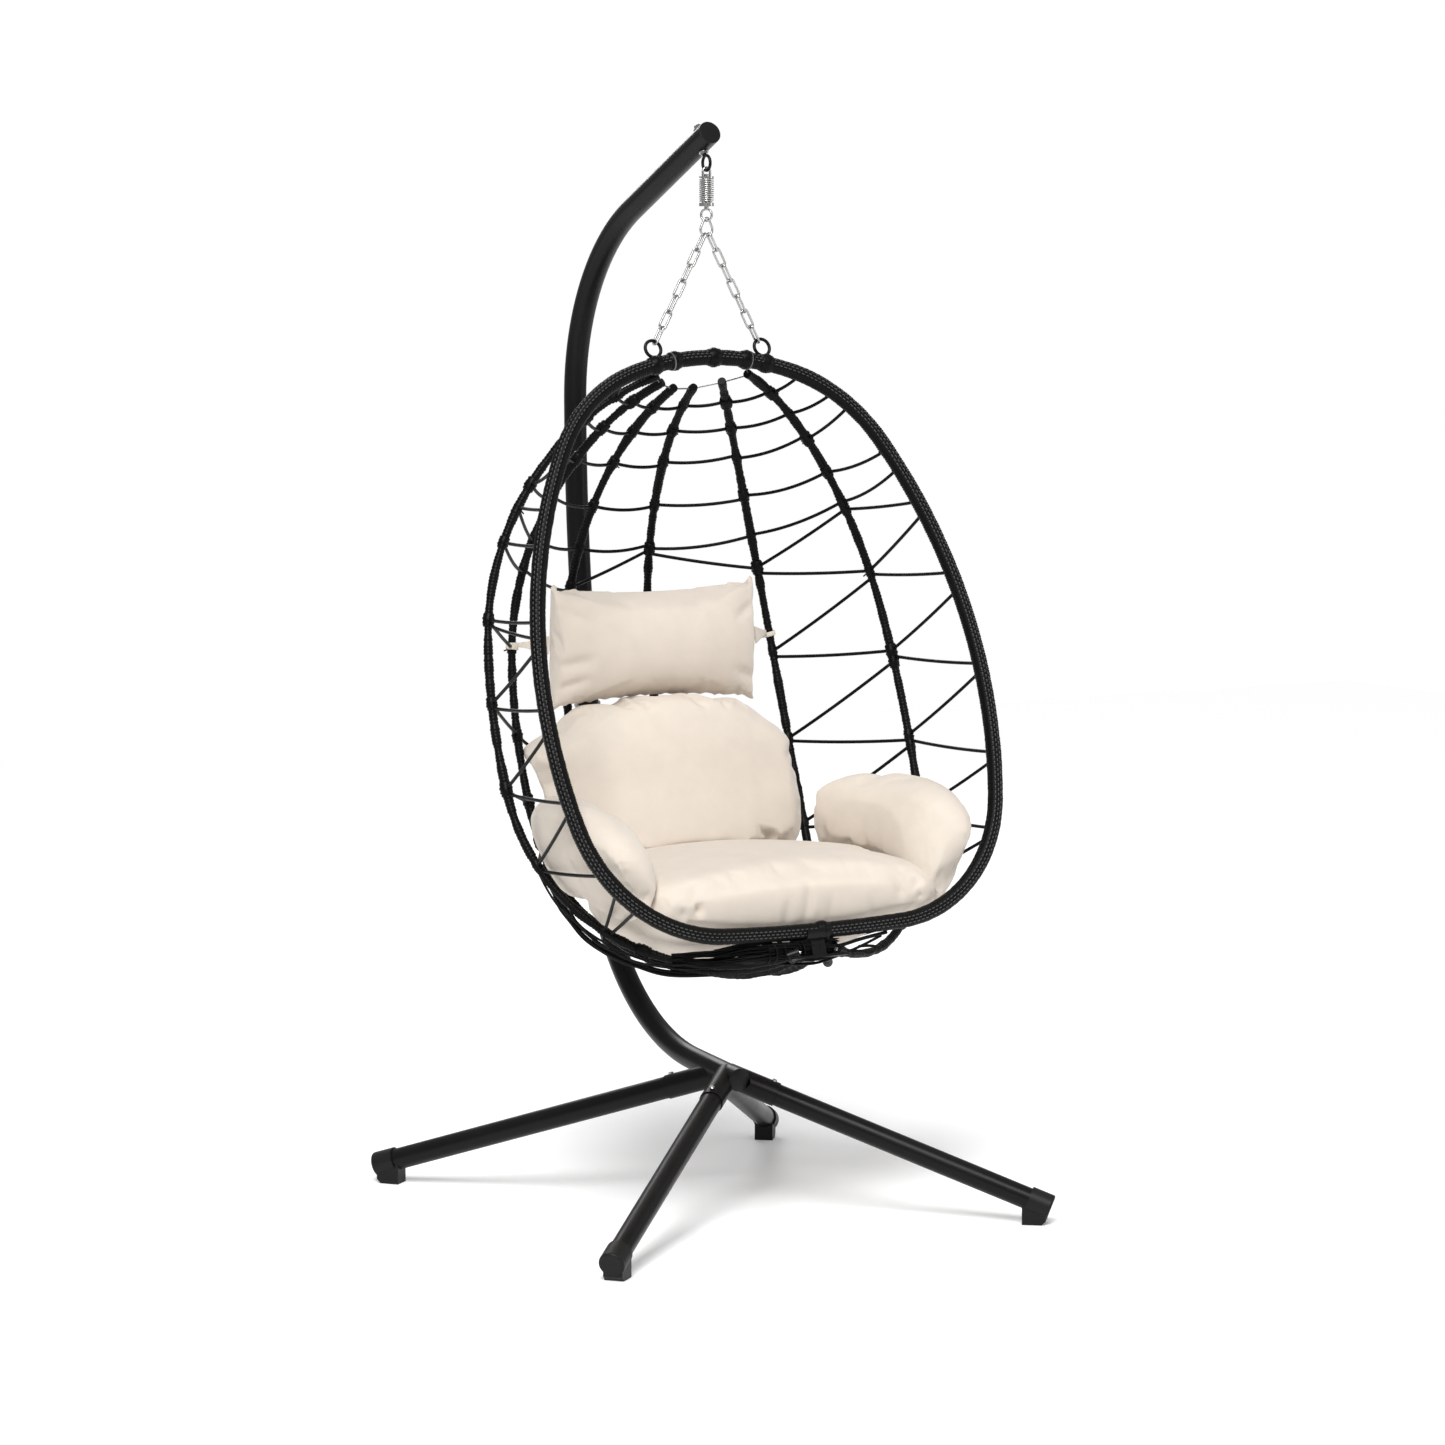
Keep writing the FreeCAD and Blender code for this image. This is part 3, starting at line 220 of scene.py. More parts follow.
def surface_effects():
    """Shared marks on every hard surface: uneven colour and gloss, fine relief and dust."""
    group, given = new_tree(
        "surface_marks", "ShaderNodeTree",
        {"Colour": (0.5, 0.5, 0.5, 1.0), "Grain Scale": 600.0, "Grain Depth": 0.1,
         "Roughness": 0.4, "Spread": 0.1, "Dust": 0.1},
        {"Colour": colour_socket, "Roughness": "NodeSocketFloat", "Normal": vector_socket})
    place = add_node(group, "ShaderNodeTexCoord", out="Object")
    grain = noise(group, place, given["Grain Scale"], 2.0)
    patches = noise(group, place, 9.0, 5.0, Roughness=0.6)
    normal = add_node(group, "ShaderNodeNewGeometry", out="Normal")
    facing_up = remap(group, add_node(group, "ShaderNodeSeparateXYZ", {"Vector": normal}, "Z"),
                      0.25, 1.0)
    dusted = maths(group, "MULTIPLY", maths(group, "MULTIPLY", facing_up, patches), given["Dust"])
    toned = vector_maths(group, "SCALE", given["Colour"],
                         Scale=remap(group, patches, 0.0, 1.0, 0.88, 1.12))
    rough = remap(group, patches, 0.3, 0.7,
                  *(maths(group, way, given["Roughness"], given["Spread"])
                    for way in ("SUBTRACT", "ADD")))
    return give_out(group, Colour=mixed(group, dusted, toned, dust_colour), Roughness=rough,
                    Normal=bump(group, grain, given["Grain Depth"], 0.0004))


marks = surface_effects()


def add_group(tree, group, **values):
    """A node that runs a group, with start values for its inputs."""
    node = tree.nodes.new("ShaderNodeGroup")
    node.node_tree = group
    for key, value in values.items():
        node.inputs[key.replace("_", " ")].default_value = value
    return node.outputs


def marked_finish(name, colour, grain_scale, grain_depth, roughness, spread, dust, **constants):
    """A material whose colour, roughness and relief come from the shared surface marks."""
    finish, tree, shader = new_finish(name, **constants)
    found = add_group(tree, marks, Colour=colour + (1.0,), Grain_Scale=grain_scale,
                      Grain_Depth=grain_depth, Roughness=roughness, Spread=spread, Dust=dust)
    for label, socket in (("Colour", "Base Color"), ("Roughness", "Roughness"),
                          ("Normal", "Normal")):
        tree.links.new(found[label], shader.inputs[socket])
    return finish


def dress(finish, *names):
    for name in names:
        for slot in nodes[name].material_slots:
            slot.link = "OBJECT"
            slot.material = finish


black_coat = marked_finish("black_powder_coat", (0.004, 0.004, 0.0042), 900.0, 0.22,
                           0.32, 0.05, 0.02, Specular_IOR_Level=0.16)
legs = [name for name in nodes if name.startswith(("leg_front", "leg_rear"))]
dress(black_coat, "lower_post", "upper_post", "eye_bolt", "eyelet_left", "eyelet_right",
      "rib_hub", *legs)

# Feet and end caps: moulded black plastic, duller than the coat and finely pitted.
black_plastic = marked_finish("black_moulded_plastic", (0.006, 0.006, 0.006), 1500.0, 0.35,
                              0.46, 0.06, 0.03, Specular_IOR_Level=0.2)
feet = [name for name in nodes if name.startswith("foot_")]
dress(black_plastic, "base_end_cap", "arm_end_cap", *feet)

# Hanger and chains: bright zinc plated steel wire, rolled, bent and welded into links.
# The plating has a soft milky tone that varies a little from place to place.
zinc = marked_finish("bright_zinc", (0.46, 0.46, 0.455), 260.0, 0.25, 0.26, 0.08, 0.0,
                     Metallic=1.0)
dress(zinc, "leg_screws", "post_joint_bolts", "eye_bolt_nuts", "hanger_yoke", "spring_coil",
      "spring_base_plate", "spring_seat", "swivel_eye", "swivel_nut", "pear_link",
      "chain_left", "chain_right", "hub_screws")
cable_steel = marked_finish("dull_cable_steel", (0.2, 0.2, 0.2), 2200.0, 0.5, 0.4, 0.08, 0.0,
                            Metallic=0.8)
dress(cable_steel, "rib_top_cable")

# Hoop: a steel tube bent to an egg outline, leaning back from its foot, and wound all round
# with a narrow plastic wicker strip. Thin strands lie along its front, woven through the turns.
hoop_top = Vector((0.0, -0.032436, 1.535536))
hoop_tilt = math.radians(20.0)
hoop_radii = (0.500, 0.293, 0.954, 0.266)
hoop_headings = (0.0, 19.7, 60.6, 102.3, 177.2, 180.0)
hoop_wrap_radius = 0.0140
hoop_wrap_pitch = 0.0046
hoop_wrap_groove = 0.0009
rings_in_turn = 4.0
strand_radius = 0.0009
strand_angles = (-38.0, -15.0, 8.0)
strand_facing = Vector((-0.38, -0.86, 0.30))
strand_sink = 0.0011
strand_dive = 0.0013
strand_points_in_turn = 3.0
down = Vector((0.0, -math.sin(hoop_tilt), -math.cos(hoop_tilt)))
back = Vector((0.0, math.cos(hoop_tilt), -math.sin(hoop_tilt)))


def arc_track(radii, headings, out, step):
    """Points (out, drop) along tangent arcs, each turning from one heading to the next."""
    points = [(out, 0.0)]
    for radius, first, last in zip(radii, headings, headings[1:]):
        first, last = math.radians(first), math.radians(last)
        start_out, start_drop = points[-1]
        count = max(2, int(radius * (last - first) / step))
        for index in range(1, count + 1):
            angle = first + (last - first) * index / count
            points.append((start_out + radius * (math.sin(angle) - math.sin(first)),
                           start_drop + radius * (math.cos(first) - math.cos(angle))))
    return points


def closing_radius():
    """The last arc's radius, which brings the outline back to the middle."""
    width = sum(radius * (math.sin(math.radians(last)) - math.sin(math.radians(first)))
                for radius, first, last in zip(hoop_radii, hoop_headings, hoop_headings[1:]))
    return width / math.sin(math.radians(hoop_headings[-2]))


hoop_half = arc_track(hoop_radii + (closing_radius(),), hoop_headings, 0.0, 0.008)
hoop_side = {side: [hoop_top + Vector((side * out, 0, 0)) + down * drop for out, drop in hoop_half]
             for side in (-1, 1)}
hoop_line = hoop_side[1] + hoop_side[-1][-2:0:-1]


def line_mesh(name, lines, closed=False, **numbers):
    """A mesh of plain edges along lines of points, with one number for each line."""
    points = []
    edges = []
    for line in lines:
        first = len(points)
        points += line
        edges += [(first + step, first + step + 1) for step in range(len(line) - 1)]
        if closed:
            edges.append((len(points) - 1, first))
    holder = add_mesh(name, points, edges, [])
    for key, values in numbers.items():
        column = [value for line, value in zip(lines, values) for _ in line]
        holder.data.attributes.new(key, "FLOAT", "POINT").data.foreach_set("value", column)
    return holder


def geometry_tree(name, **sizes):
    """A tree for lines or points, with a material and one named input for each size."""
    return new_tree(name, "GeometryNodeTree",
                    {"Geometry": "NodeSocketGeometry", **sizes, "Material": "NodeSocketMaterial"},
                    {"Geometry": "NodeSocketGeometry"})


def end_tree(tree, geometry, given):
    """Instances made real, the material set, and the result given out."""
    real = add_node(tree, "GeometryNodeRealizeInstances", {"Geometry": geometry})
    return give_out(tree, Geometry=add_node(tree, "GeometryNodeSetMaterial",
                                            {"Geometry": real, "Material": given["Material"]}))


def grow(tree, source, name, body, **values):
    """Runs a tree on a source object, keeps the result as a plain mesh and drops the source."""
    modifier = source.modifiers.new("grow", "NODES")
    modifier.node_group = tree
    for item in tree.interface.items_tree:
        if item.in_out == "INPUT" and item.name in values:
            modifier[item.identifier] = values[item.name]
    bpy.context.view_layer.update()
    depsgraph = bpy.context.evaluated_depsgraph_get()
    mesh = bpy.data.meshes.new_from_object(source.evaluated_get(depsgraph))
    mesh.name = name
    piece = add_object(name, mesh)
    bpy.data.objects.remove(source)
    mesh.shade_smooth()
    if body:
        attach(piece, body)
    return piece


def curve_of(tree, given):
    return add_node(tree, "GeometryNodeMeshToCurve", {"Mesh": given["Geometry"]})


def resampled(tree, curve, count):
    return add_node(tree, "GeometryNodeResampleCurve", {"Curve": curve, "Count": count})


def attribute(tree, name, kind="FLOAT"):
    return add_node(tree, "GeometryNodeInputNamedAttribute", {"Name": name}, data_type=kind)


def stored(tree, geometry, name, value, kind="FLOAT"):
    return add_node(tree, "GeometryNodeStoreNamedAttribute",
                    {"Geometry": geometry, "Name": name, "Value": value}, data_type=kind,
                    domain="POINT")


def random_number(tree, seed, low, high, **more):
    return add_node(tree, "FunctionNodeRandomValue", {"Seed": seed, 2: low, 3: high, **more}, 1,
                    data_type="FLOAT")


def moved_by(tree, geometry, offset):
    return add_node(tree, "GeometryNodeSetPosition", {"Geometry": geometry, "Offset": offset})


def ring(tree, sides, radius):
    return add_node(tree, "GeometryNodeCurvePrimitiveCircle",
                    {"Resolution": sides, "Radius": radius}, mode="RADIUS")


def swept(tree, curve, section):
    return add_node(tree, "GeometryNodeCurveToMesh",
                    {"Curve": curve, "Profile Curve": section, "Fill Caps": True})


def wound_bar_tree():
    """A round bar wound with a narrow strip: each turn is four rings, the first one sunk."""
    tree, given = geometry_tree("wound_bar", Radius=0.014, Turns=600, Groove=0.001,
                                Uneven=0.0003, Lump=0.0006, Sides=20, Seed=1)
    even = resampled(tree, curve_of(tree, given),
                     maths(tree, "MULTIPLY", given["Turns"], rings_in_turn))
    index = add_node(tree, "GeometryNodeInputIndex")
    position = add_node(tree, "GeometryNodeInputPosition")
    first_ring = maths(tree, "LESS_THAN", maths(tree, "MODULO", index, rings_in_turn), 0.5)
    turn = maths(tree, "FLOOR", maths(tree, "DIVIDE", index, rings_in_turn))
    uneven = random_number(tree, given["Seed"], -1.0, 1.0, ID=turn)
    swell = remap(tree, noise(tree, position, 24.0, 1.0), 0.3, 0.7,
                  maths(tree, "MULTIPLY", given["Lump"], -1.0), given["Lump"])
    rise = maths(tree, "SUBTRACT",
                 maths(tree, "ADD", swell, maths(tree, "MULTIPLY", uneven, given["Uneven"])),
                 maths(tree, "MULTIPLY", first_ring, given["Groove"]))
    line = stored(tree, stored(tree, even, "centre", position, "FLOAT_VECTOR"), "rise", rise)
    bar = swept(tree, line, ring(tree, given["Sides"], given["Radius"]))
    outward = vector_maths(tree, "SUBTRACT", position, attribute(tree, "centre", "FLOAT_VECTOR"))
    bar = moved_by(tree, bar, vector_maths(tree, "SCALE", vector_maths(tree, "NORMALIZE", outward),
                                           Scale=attribute(tree, "rise")))
    for name in ("centre", "rise"):
        bar = add_node(tree, "GeometryNodeRemoveAttribute", {"Geometry": bar, "Name": name})
    return end_tree(tree, bar, given)


def woven_strand_tree():
    """Strands along a wound bar, that dive under every other turn at a given angle round it."""
    tree, given = geometry_tree("woven_strand", Radius=0.014, Turns=600, Dive=0.001,
                                Strand=0.001, Facing=(0.0, -1.0, 0.0))
    even = resampled(tree, curve_of(tree, given),
                     maths(tree, "MULTIPLY", given["Turns"], strand_points_in_turn))
    tangent = add_node(tree, "GeometryNodeInputTangent")
    along = vector_maths(tree, "DOT_PRODUCT", given["Facing"], tangent, out="Value")
    flat = vector_maths(tree, "SUBTRACT", given["Facing"],
                        vector_maths(tree, "SCALE", tangent, Scale=along))
    front = vector_maths(tree, "NORMALIZE", flat)
    across = vector_maths(tree, "CROSS_PRODUCT", tangent, front)
    index = add_node(tree, "GeometryNodeInputIndex")
    phase = maths(tree, "ADD", maths(tree, "MULTIPLY", index, math.pi / strand_points_in_turn),
                  attribute(tree, "phase"))
    wave = maths(tree, "SINE", phase)
    reach = maths(tree, "ADD", given["Radius"], maths(tree, "MULTIPLY", wave, given["Dive"]))
    angle = attribute(tree, "angle")
    parts = [vector_maths(tree, "SCALE", way,
                          Scale=maths(tree, "MULTIPLY", reach, maths(tree, share, angle)))
             for way, share in ((front, "COSINE"), (across, "SINE"))]
    laid = moved_by(tree, even, vector_maths(tree, "ADD", *parts))
    return end_tree(tree, swept(tree, laid, ring(tree, 6, given["Strand"])), given)


wicker = marked_finish("black_wicker", (0.0026, 0.0026, 0.0025), 1200.0, 0.3, 0.4, 0.07, 0.01,
                       Specular_IOR_Level=0.1)
# The strands' pale grey is a painted highlight, standing in for the glints where they cross over
# the turns.
highlight_painted_wicker = marked_finish("strand_wicker_painted_highlight", (0.07, 0.07, 0.069), 1200.0, 0.3, 0.38, 0.07, 0.0,
                            Specular_IOR_Level=0.2)
wound_bar = wound_bar_tree()


def line_length(line, closed=False):
    ends = list(line[1:]) + ([line[0]] if closed else [])
    return sum((end - start).length for start, end in zip(line, ends))


hoop_turns = 2 * round(line_length(hoop_line, True) / hoop_wrap_pitch / 2)
hoop_wrap = grow(wound_bar, line_mesh("hoop_path", [hoop_line], closed=True), "hoop_wrap",
                 "basket", Radius=hoop_wrap_radius, Turns=hoop_turns, Groove=hoop_wrap_groove,
                 Uneven=0.00025, Lump=0.0003, Sides=20, Seed=3, Material=wicker)
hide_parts("hoop")
# The strands take the pale finish with the painted highlight.
hoop_strands = grow(woven_strand_tree(),
                    line_mesh("strand_paths", [hoop_line] * len(strand_angles), closed=True,
                              angle=[math.radians(angle) for angle in strand_angles],
                              phase=[math.pi * index for index in range(len(strand_angles))]),
                    "hoop_strands", "basket", Radius=hoop_wrap_radius - strand_sink,
                    Turns=hoop_turns, Dive=strand_dive, Strand=strand_radius,
                    Facing=strand_facing, Material=highlight_painted_wicker)

# Ribs: three pairs of bent rods that fan out from under the hoop's top, run down behind the
# cushions and meet in the hub. Each is wound with the same strip as the hoop.
rib_fan_forward = 0.0248
rib_fan_drop = 0.021
rib_start_out = 0.107
rib_radii = (0.402, 0.518, 1.257, 0.390)
rib_headings = (10.3, 33.0, 80.9, 94.4, 188.7)
rib_kinds = {"side": (math.radians(31.8), 1.0), "middle": (math.radians(57.9), 1.066),
             "back": (math.radians(81.05), 1.213)}
rib_wrap_radius = 0.0080
rib_wrap_pitch = 0.0062
fan_top = hoop_top + down * rib_fan_drop - back * rib_fan_forward
rib_profile = arc_track(rib_radii, rib_headings, rib_start_out, 0.006)


def rib_out(kind, side):
    """The direction in which a rib fans out, square to the hoop's own drop."""
    turn = rib_kinds[kind][0]
    return Vector((side * math.cos(turn), 0, 0)) + back * math.sin(turn)


rib_lines = {(kind, side): [fan_top + rib_out(kind, side) * (reach * rib_kinds[kind][1])
                            + down * drop for reach, drop in rib_profile]
             for kind in rib_kinds for side in (-1, 1)}
for seed, ((kind, side), line) in enumerate(rib_lines.items()):
    node = "rib_" + kind + ("_left" if side < 0 else "_right")
    piece = grow(wound_bar, line_mesh("rib_path", [line]), node + "_wrap", "basket",
                 Radius=rib_wrap_radius, Turns=round(line_length(line) / rib_wrap_pitch),
                 Groove=0.0008, Uneven=0.00045, Lump=0.0011, Sides=14, Seed=seed,
                 Material=wicker)
    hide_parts(node)

# Net: round plastic cords, tied to the hoop and wound a few turns round each rib, in rows at
# the top and in zigzags lower down. Pairs give both ends' drops below the hoop's top, in mm.
cord_radius = 0.0031
cord_steps = 12
least_sag = 0.012
top_row_sag = 0.05
top_rows_end = 300
level_within = 40
knot_length = 0.024
knot_spacing = 0.6
knot_end_tilt = math.radians(68.0)
knot_end_up = 0.004
net_bays = {
    "net_right_side": (("hoop", 1), ("side", 1), (
        (35, 45), (70, 75), (95, 115), (180, 170), (215, 222), (280, 235), (300, 347), (415, 353),
        (447, 497), (587, 507), (600, 657), (752, 667), (765, 800), (890, 810), (905, 930))),
    "net_right_back": (("side", 1), ("middle", 1), (
        (43, 41), (75, 72), (110, 114), (170, 170), (222, 234), (235, 290), (347, 300),
        (360, 442), (497, 452), (517, 607), (667, 612), (677, 770), (812, 780), (930, 930),
        (1020, 1025))),
    "net_back_right": (("middle", 1), ("back", 1), (
        (40, 35), (72, 60), (110, 98), (176, 156), (236, 222), (292, 230), (612, 640), (780, 770),
        (930, 925), (1025, 1020))),
    "net_back_middle": (("back", 1), ("back", -1), (
        (36, 36), (62, 60), (102, 97), (158, 155), (216, 218), (224, 280), (640, 630), (770, 780),
        (925, 925), (1010, 1010))),
    "net_back_left": (("back", -1), ("middle", -1), (
        (36, 38), (61, 68), (98, 109), (155, 162), (217, 226), (285, 275), (630, 570), (780, 770),
        (925, 930), (1020, 1025))),
    "net_left_back": (("middle", -1), ("side", -1), (
        (40, 45), (70, 76), (112, 114), (165, 175), (230, 212), (280, 270), (410, 403),
        (567, 552), (692, 707), (780, 850), (930, 985), (1025, 1030))),
    "net_left_side": (("side", -1), ("hoop", -1), (
        (45, 35), (76, 70), (115, 97), (175, 180), (212, 270), (270, 335), (403, 470), (412, 500),
        (552, 515), (560, 625), (707, 660), (715, 790), (850, 800), (860, 920), (985, 945),
        (992, 980))),
}


def member_point(member, drop):
    """The point of a member's centre line at a drop below the hoop's top, and its direction."""
    line = hoop_side[member[1]] if member[0] == "hoop" else rib_lines[member]
    drops = [(point - hoop_top).dot(down) for point in line]
    for first, (low, high) in enumerate(zip(drops, drops[1:])):
        if low <= drop <= high:
            share = (drop - low) / max(high - low, 1e-9)
            way = (line[first + 1] - line[first]).normalized()
            return line[first].lerp(line[first + 1], share), way
    return line[-1], (line[-1] - line[-2]).normalized()


def smooth_curve(tree, given):
    return add_node(tree, "GeometryNodeCurveSplineType", {"Curve": curve_of(tree, given)},
                    spline_type="CATMULL_ROM")


def cord_tree(name, smoothed):
    """A round cord along each line, or along a smooth curve through its points."""
    tree, given = geometry_tree(name, Radius=0.0016, Sides=8)
    line = resampled(tree, smooth_curve(tree, given), 48) if smoothed else curve_of(tree, given)
    return end_tree(tree, swept(tree, line, ring(tree, given["Sides"], given["Radius"])), given)


round_cord = cord_tree("round_cord", False)
knots = []
hoop_ties = []
for node, (first, second, ties) in net_bays.items():
    lines = []
    for first_drop, second_drop in ties:
        start, start_way = member_point(first, first_drop / 1000)
        end, end_way = member_point(second, second_drop / 1000)
        span = end - start
        level = 1 - min(1.0, abs(first_drop - second_drop) / level_within)
        sag = span.length * (least_sag + top_row_sag * level * (first_drop < top_rows_end))
        shares = [step / cord_steps for step in range(cord_steps + 1)]
        lines.append([start + span * share - Vector((0, 0, sag * 4 * share * (1 - share)))
                      for share in shares])
        for member, point, way, toward in ((first, start, start_way, span),
                                           (second, end, end_way, -span)):
            if member[0] == "hoop":
                hoop_ties.append((point + toward.normalized() * hoop_wrap_radius, toward))
            elif all((point - other).length > knot_spacing * knot_length for other, _ in knots):
                knots.append((point, way))
    piece = grow(round_cord, line_mesh("cord_paths", lines), node.replace("net", "cords"),
                 "basket", Radius=cord_radius, Sides=8, Material=wicker)
    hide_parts(node)


def point_mesh(name, places):
    """A mesh of loose points, each with a direction."""
    holder = add_mesh(name, [point for point, _ in places], [], [])
    ways = [number for _, way in places for number in way.normalized()]
    holder.data.attributes.new("way", "FLOAT_VECTOR", "POINT").data.foreach_set("vector", ways)
    return holder


def scatter_tree():
    """A shape set at each point along its direction, turned and scaled a little at random."""
    tree, given = geometry_tree("set_along", Shape="NodeSocketObject", Smallest=0.9, Largest=1.1,
                                Seed=1)
    turned = add_node(tree, "FunctionNodeAlignRotationToVector",
                      {"Vector": attribute(tree, "way", "FLOAT_VECTOR")}, axis="Z")
    spin = random_number(tree, given["Seed"], 0.0, 2 * math.pi)
    rotation = add_node(tree, "FunctionNodeRotateRotation",
                        {0: turned, 1: add_node(tree, "ShaderNodeCombineXYZ", {"Z": spin})},
                        rotation_space="LOCAL")
    size = random_number(tree, maths(tree, "ADD", given["Seed"], 7.0), given["Smallest"],
                         given["Largest"])
    shape = add_node(tree, "GeometryNodeObjectInfo", {"Object": given["Shape"]}, "Geometry")
    placed = add_node(tree, "GeometryNodeInstanceOnPoints",
                      {"Points": given["Geometry"], "Instance": shape, "Rotation": rotation,
                       "Scale": size})
    return end_tree(tree, placed, given)


def turned_shape(name, rings, sides, wobble):
    """A closed shape turned about Z from (radius, height) rings, a little out of round."""
    points = []
    faces = []
    for row, (radius, height) in enumerate(rings):
        for side in range(sides):
            angle = 2 * math.pi * side / sides
            reach = radius * (1 + wobble * math.sin(2 * angle + 1.7 * row))
            points.append((reach * math.cos(angle), reach * math.sin(angle), height))
            after = (side + 1) % sides
            if row:
                faces.append(((row - 1) * sides + side, (row - 1) * sides + after,
                              row * sides + after, row * sides + side))
    faces.append(tuple(range(sides))[::-1])
    faces.append(tuple((len(rings) - 1) * sides + side for side in range(sides)))
    return add_mesh(name, points, [], faces)


def wound_shape(name, radius, half, rows, sides, wobble):
    """A short winding on a bar, from rows of extra radius in mm and share of the half length."""
    return turned_shape(name, [(radius + extra / 1000, share * half) for extra, share in rows],
                        sides, wobble)


set_along = scatter_tree()


def scatter(name, shape, places, smallest, largest, seed):
    """A shape set at each place, as one piece."""
    return grow(set_along, point_mesh(name + "_points", places), name, "basket", Shape=shape,
                Smallest=smallest, Largest=largest, Seed=seed, Material=wicker)


knot_shape = wound_shape("knot_shape", rib_wrap_radius, knot_length / 2, (
    (0, -1), (1.9, -0.75), (1.1, -0.45), (2.8, -0.18), (1.8, 0.08), (2.6, 0.38), (1.0, 0.62),
    (1.7, 0.82), (0, 1)), 10, 0.05)
knot_piece = scatter("rib_knots", knot_shape, knots, 0.85, 1.15, 5)
tie_shape = turned_shape(
    "tie_shape", [(0.002, -0.005), (0.0042, -0.002), (0.0044, 0.002), (0.002, 0.006)], 8, 0.08)
tie_piece = scatter("hoop_ties", tie_shape, hoop_ties, 0.8, 1.2, 9)
end_shape = turned_shape("end_shape", [(0.0017, 0.0), (0.0018, 0.006), (0.0016, 0.0125)], 6, 0.1)
end_shape.data.transform(Matrix.Rotation(knot_end_tilt, 4, "Y"))
end_shape.data.transform(Matrix.Translation((rib_wrap_radius, 0.0, knot_end_up)))
end_piece = scatter("knot_ends", end_shape, knots[::2], 0.5, 0.85, 13)

# Spring: a coil of bright zinc plated wire between the hanger's plate and washer. It is not tied
# to any moving body.
spring_wire = 0.00265
spring_turns = 11
steps_in_turn = 24
spring_low, spring_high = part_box("spring_coil")
spring_radius = (spring_high.x - spring_low.x - spring_wire) / 2
spring_middle = (spring_low + spring_high) / 2
spring_rise = spring_high.z - spring_low.z - spring_wire
spring_line = []
for step in range(spring_turns * steps_in_turn + 1):
    angle = 2 * math.pi * step / steps_in_turn
    spring_line.append(Vector((
        spring_middle.x + spring_radius * math.cos(angle),
        spring_middle.y + spring_radius * math.sin(angle),
        spring_low.z + spring_wire / 2 + spring_rise * step / (spring_turns * steps_in_turn))))
spring = grow(round_cord, line_mesh("spring_path", [spring_line]), "spring_turns", None,
              Radius=spring_wire / 2, Sides=10, Material=zinc)
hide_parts("spring_coil")
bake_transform(spring)

# Bindings on the hoop: extra turns over each eyelet's foot, over the ends of the ribs' cable and
# over the joints at the top and in the bottom bar, where the wicker strip starts and ends.
eyelet_out = 0.112
cable_end_out = 0.0763
top_joint_out = 0.004
bottom_joint_out = 0.016
binding_half = 0.013


def hoop_point(out, low=False):
    """The point of the hoop's centre line at a distance from the middle, at the top or bottom."""
    line = hoop_side[1 if out >= 0 else -1]
    steps = [(abs(abs(point.x) - abs(out)), index) for index, point in enumerate(line)
             if (index > len(line) // 2) == low]
    index = max(1, min(steps)[1])
    return line[index], (line[index] - line[index - 1]).normalized()


binding_shape = wound_shape("binding_shape", hoop_wrap_radius, binding_half, (
    (-0.5, -1), (1.6, -0.8), (2.0, -0.55), (3.6, -0.3), (4.1, 0), (3.7, 0.3), (2.1, 0.55),
    (1.7, 0.8), (-0.5, 1)), 18, 0.02)
bindings = [hoop_point(out) for out in (-eyelet_out, eyelet_out, -cable_end_out, cable_end_out,
                                        top_joint_out)] + [hoop_point(bottom_joint_out, True)]
binding_piece = scatter("hoop_bindings", binding_shape, bindings, 0.97, 1.0, 3)
for shape in (knot_shape, tie_shape, end_shape, binding_shape):
    bpy.data.objects.remove(shape)

# Hub lashing: flat wicker strips laid along the low ends of the ribs under the bottom bar, tied
# in short turns round the hub, with loose cords that hang below the ribs at both sides.
# Places near the hub are in millimetres from the middle of the bottom bar.
lashing_width = 0.0070
lashing_thickness = 0.0011
strip_count = 46
strip_lift = (-15, 13)
strip_jitter = 4.5
strip_tilt = 1.1
strip_course = ((-232, 86, -43), (-175, 40, -37), (-118, 8, -30), (-62, -5, -28), (-8, -9, -30),
                (42, -4, -31))
turn_places = (-96, -88, -70, -40, -33, -26, 4, 11, 20, 34)
turn_widths = (13, 16)
turn_heights = (15, 18)
turn_lean = 0.35
turn_drift = 0.0006
turn_points = 13
turn_points_round = 12.5
hang_steps = 8
hang_jitter = 1.5
chance = random.Random(11)


def strip_tree():
    """Flat strips along smooth lines, each turned by its own tilt and a slow waver."""
    tree, given = geometry_tree("flat_strip", Width=0.007, Thickness=0.001, Steps=28, Waver=0.8)
    slow = noise(tree, add_node(tree, "GeometryNodeInputPosition"), 16.0, 0.0)
    waver = maths(tree, "MULTIPLY", maths(tree, "SUBTRACT", slow, 0.5), given["Waver"])
    tilted = add_node(tree, "GeometryNodeSetCurveTilt",
                      {"Curve": resampled(tree, smooth_curve(tree, given), given["Steps"]),
                       "Tilt": maths(tree, "ADD", attribute(tree, "tilt"), waver)})
    section = add_node(tree, "GeometryNodeCurvePrimitiveQuadrilateral",
                       {"Width": given["Width"], "Height": given["Thickness"]})
    return end_tree(tree, swept(tree, tilted, section), given)


def low_place(x, y, z):
    return hoop_side[1][-1] + Vector((x, y, z)) / 1000


def jitter(size):
    return Vector([chance.uniform(-size, size) for _ in range(3)]) / 1000


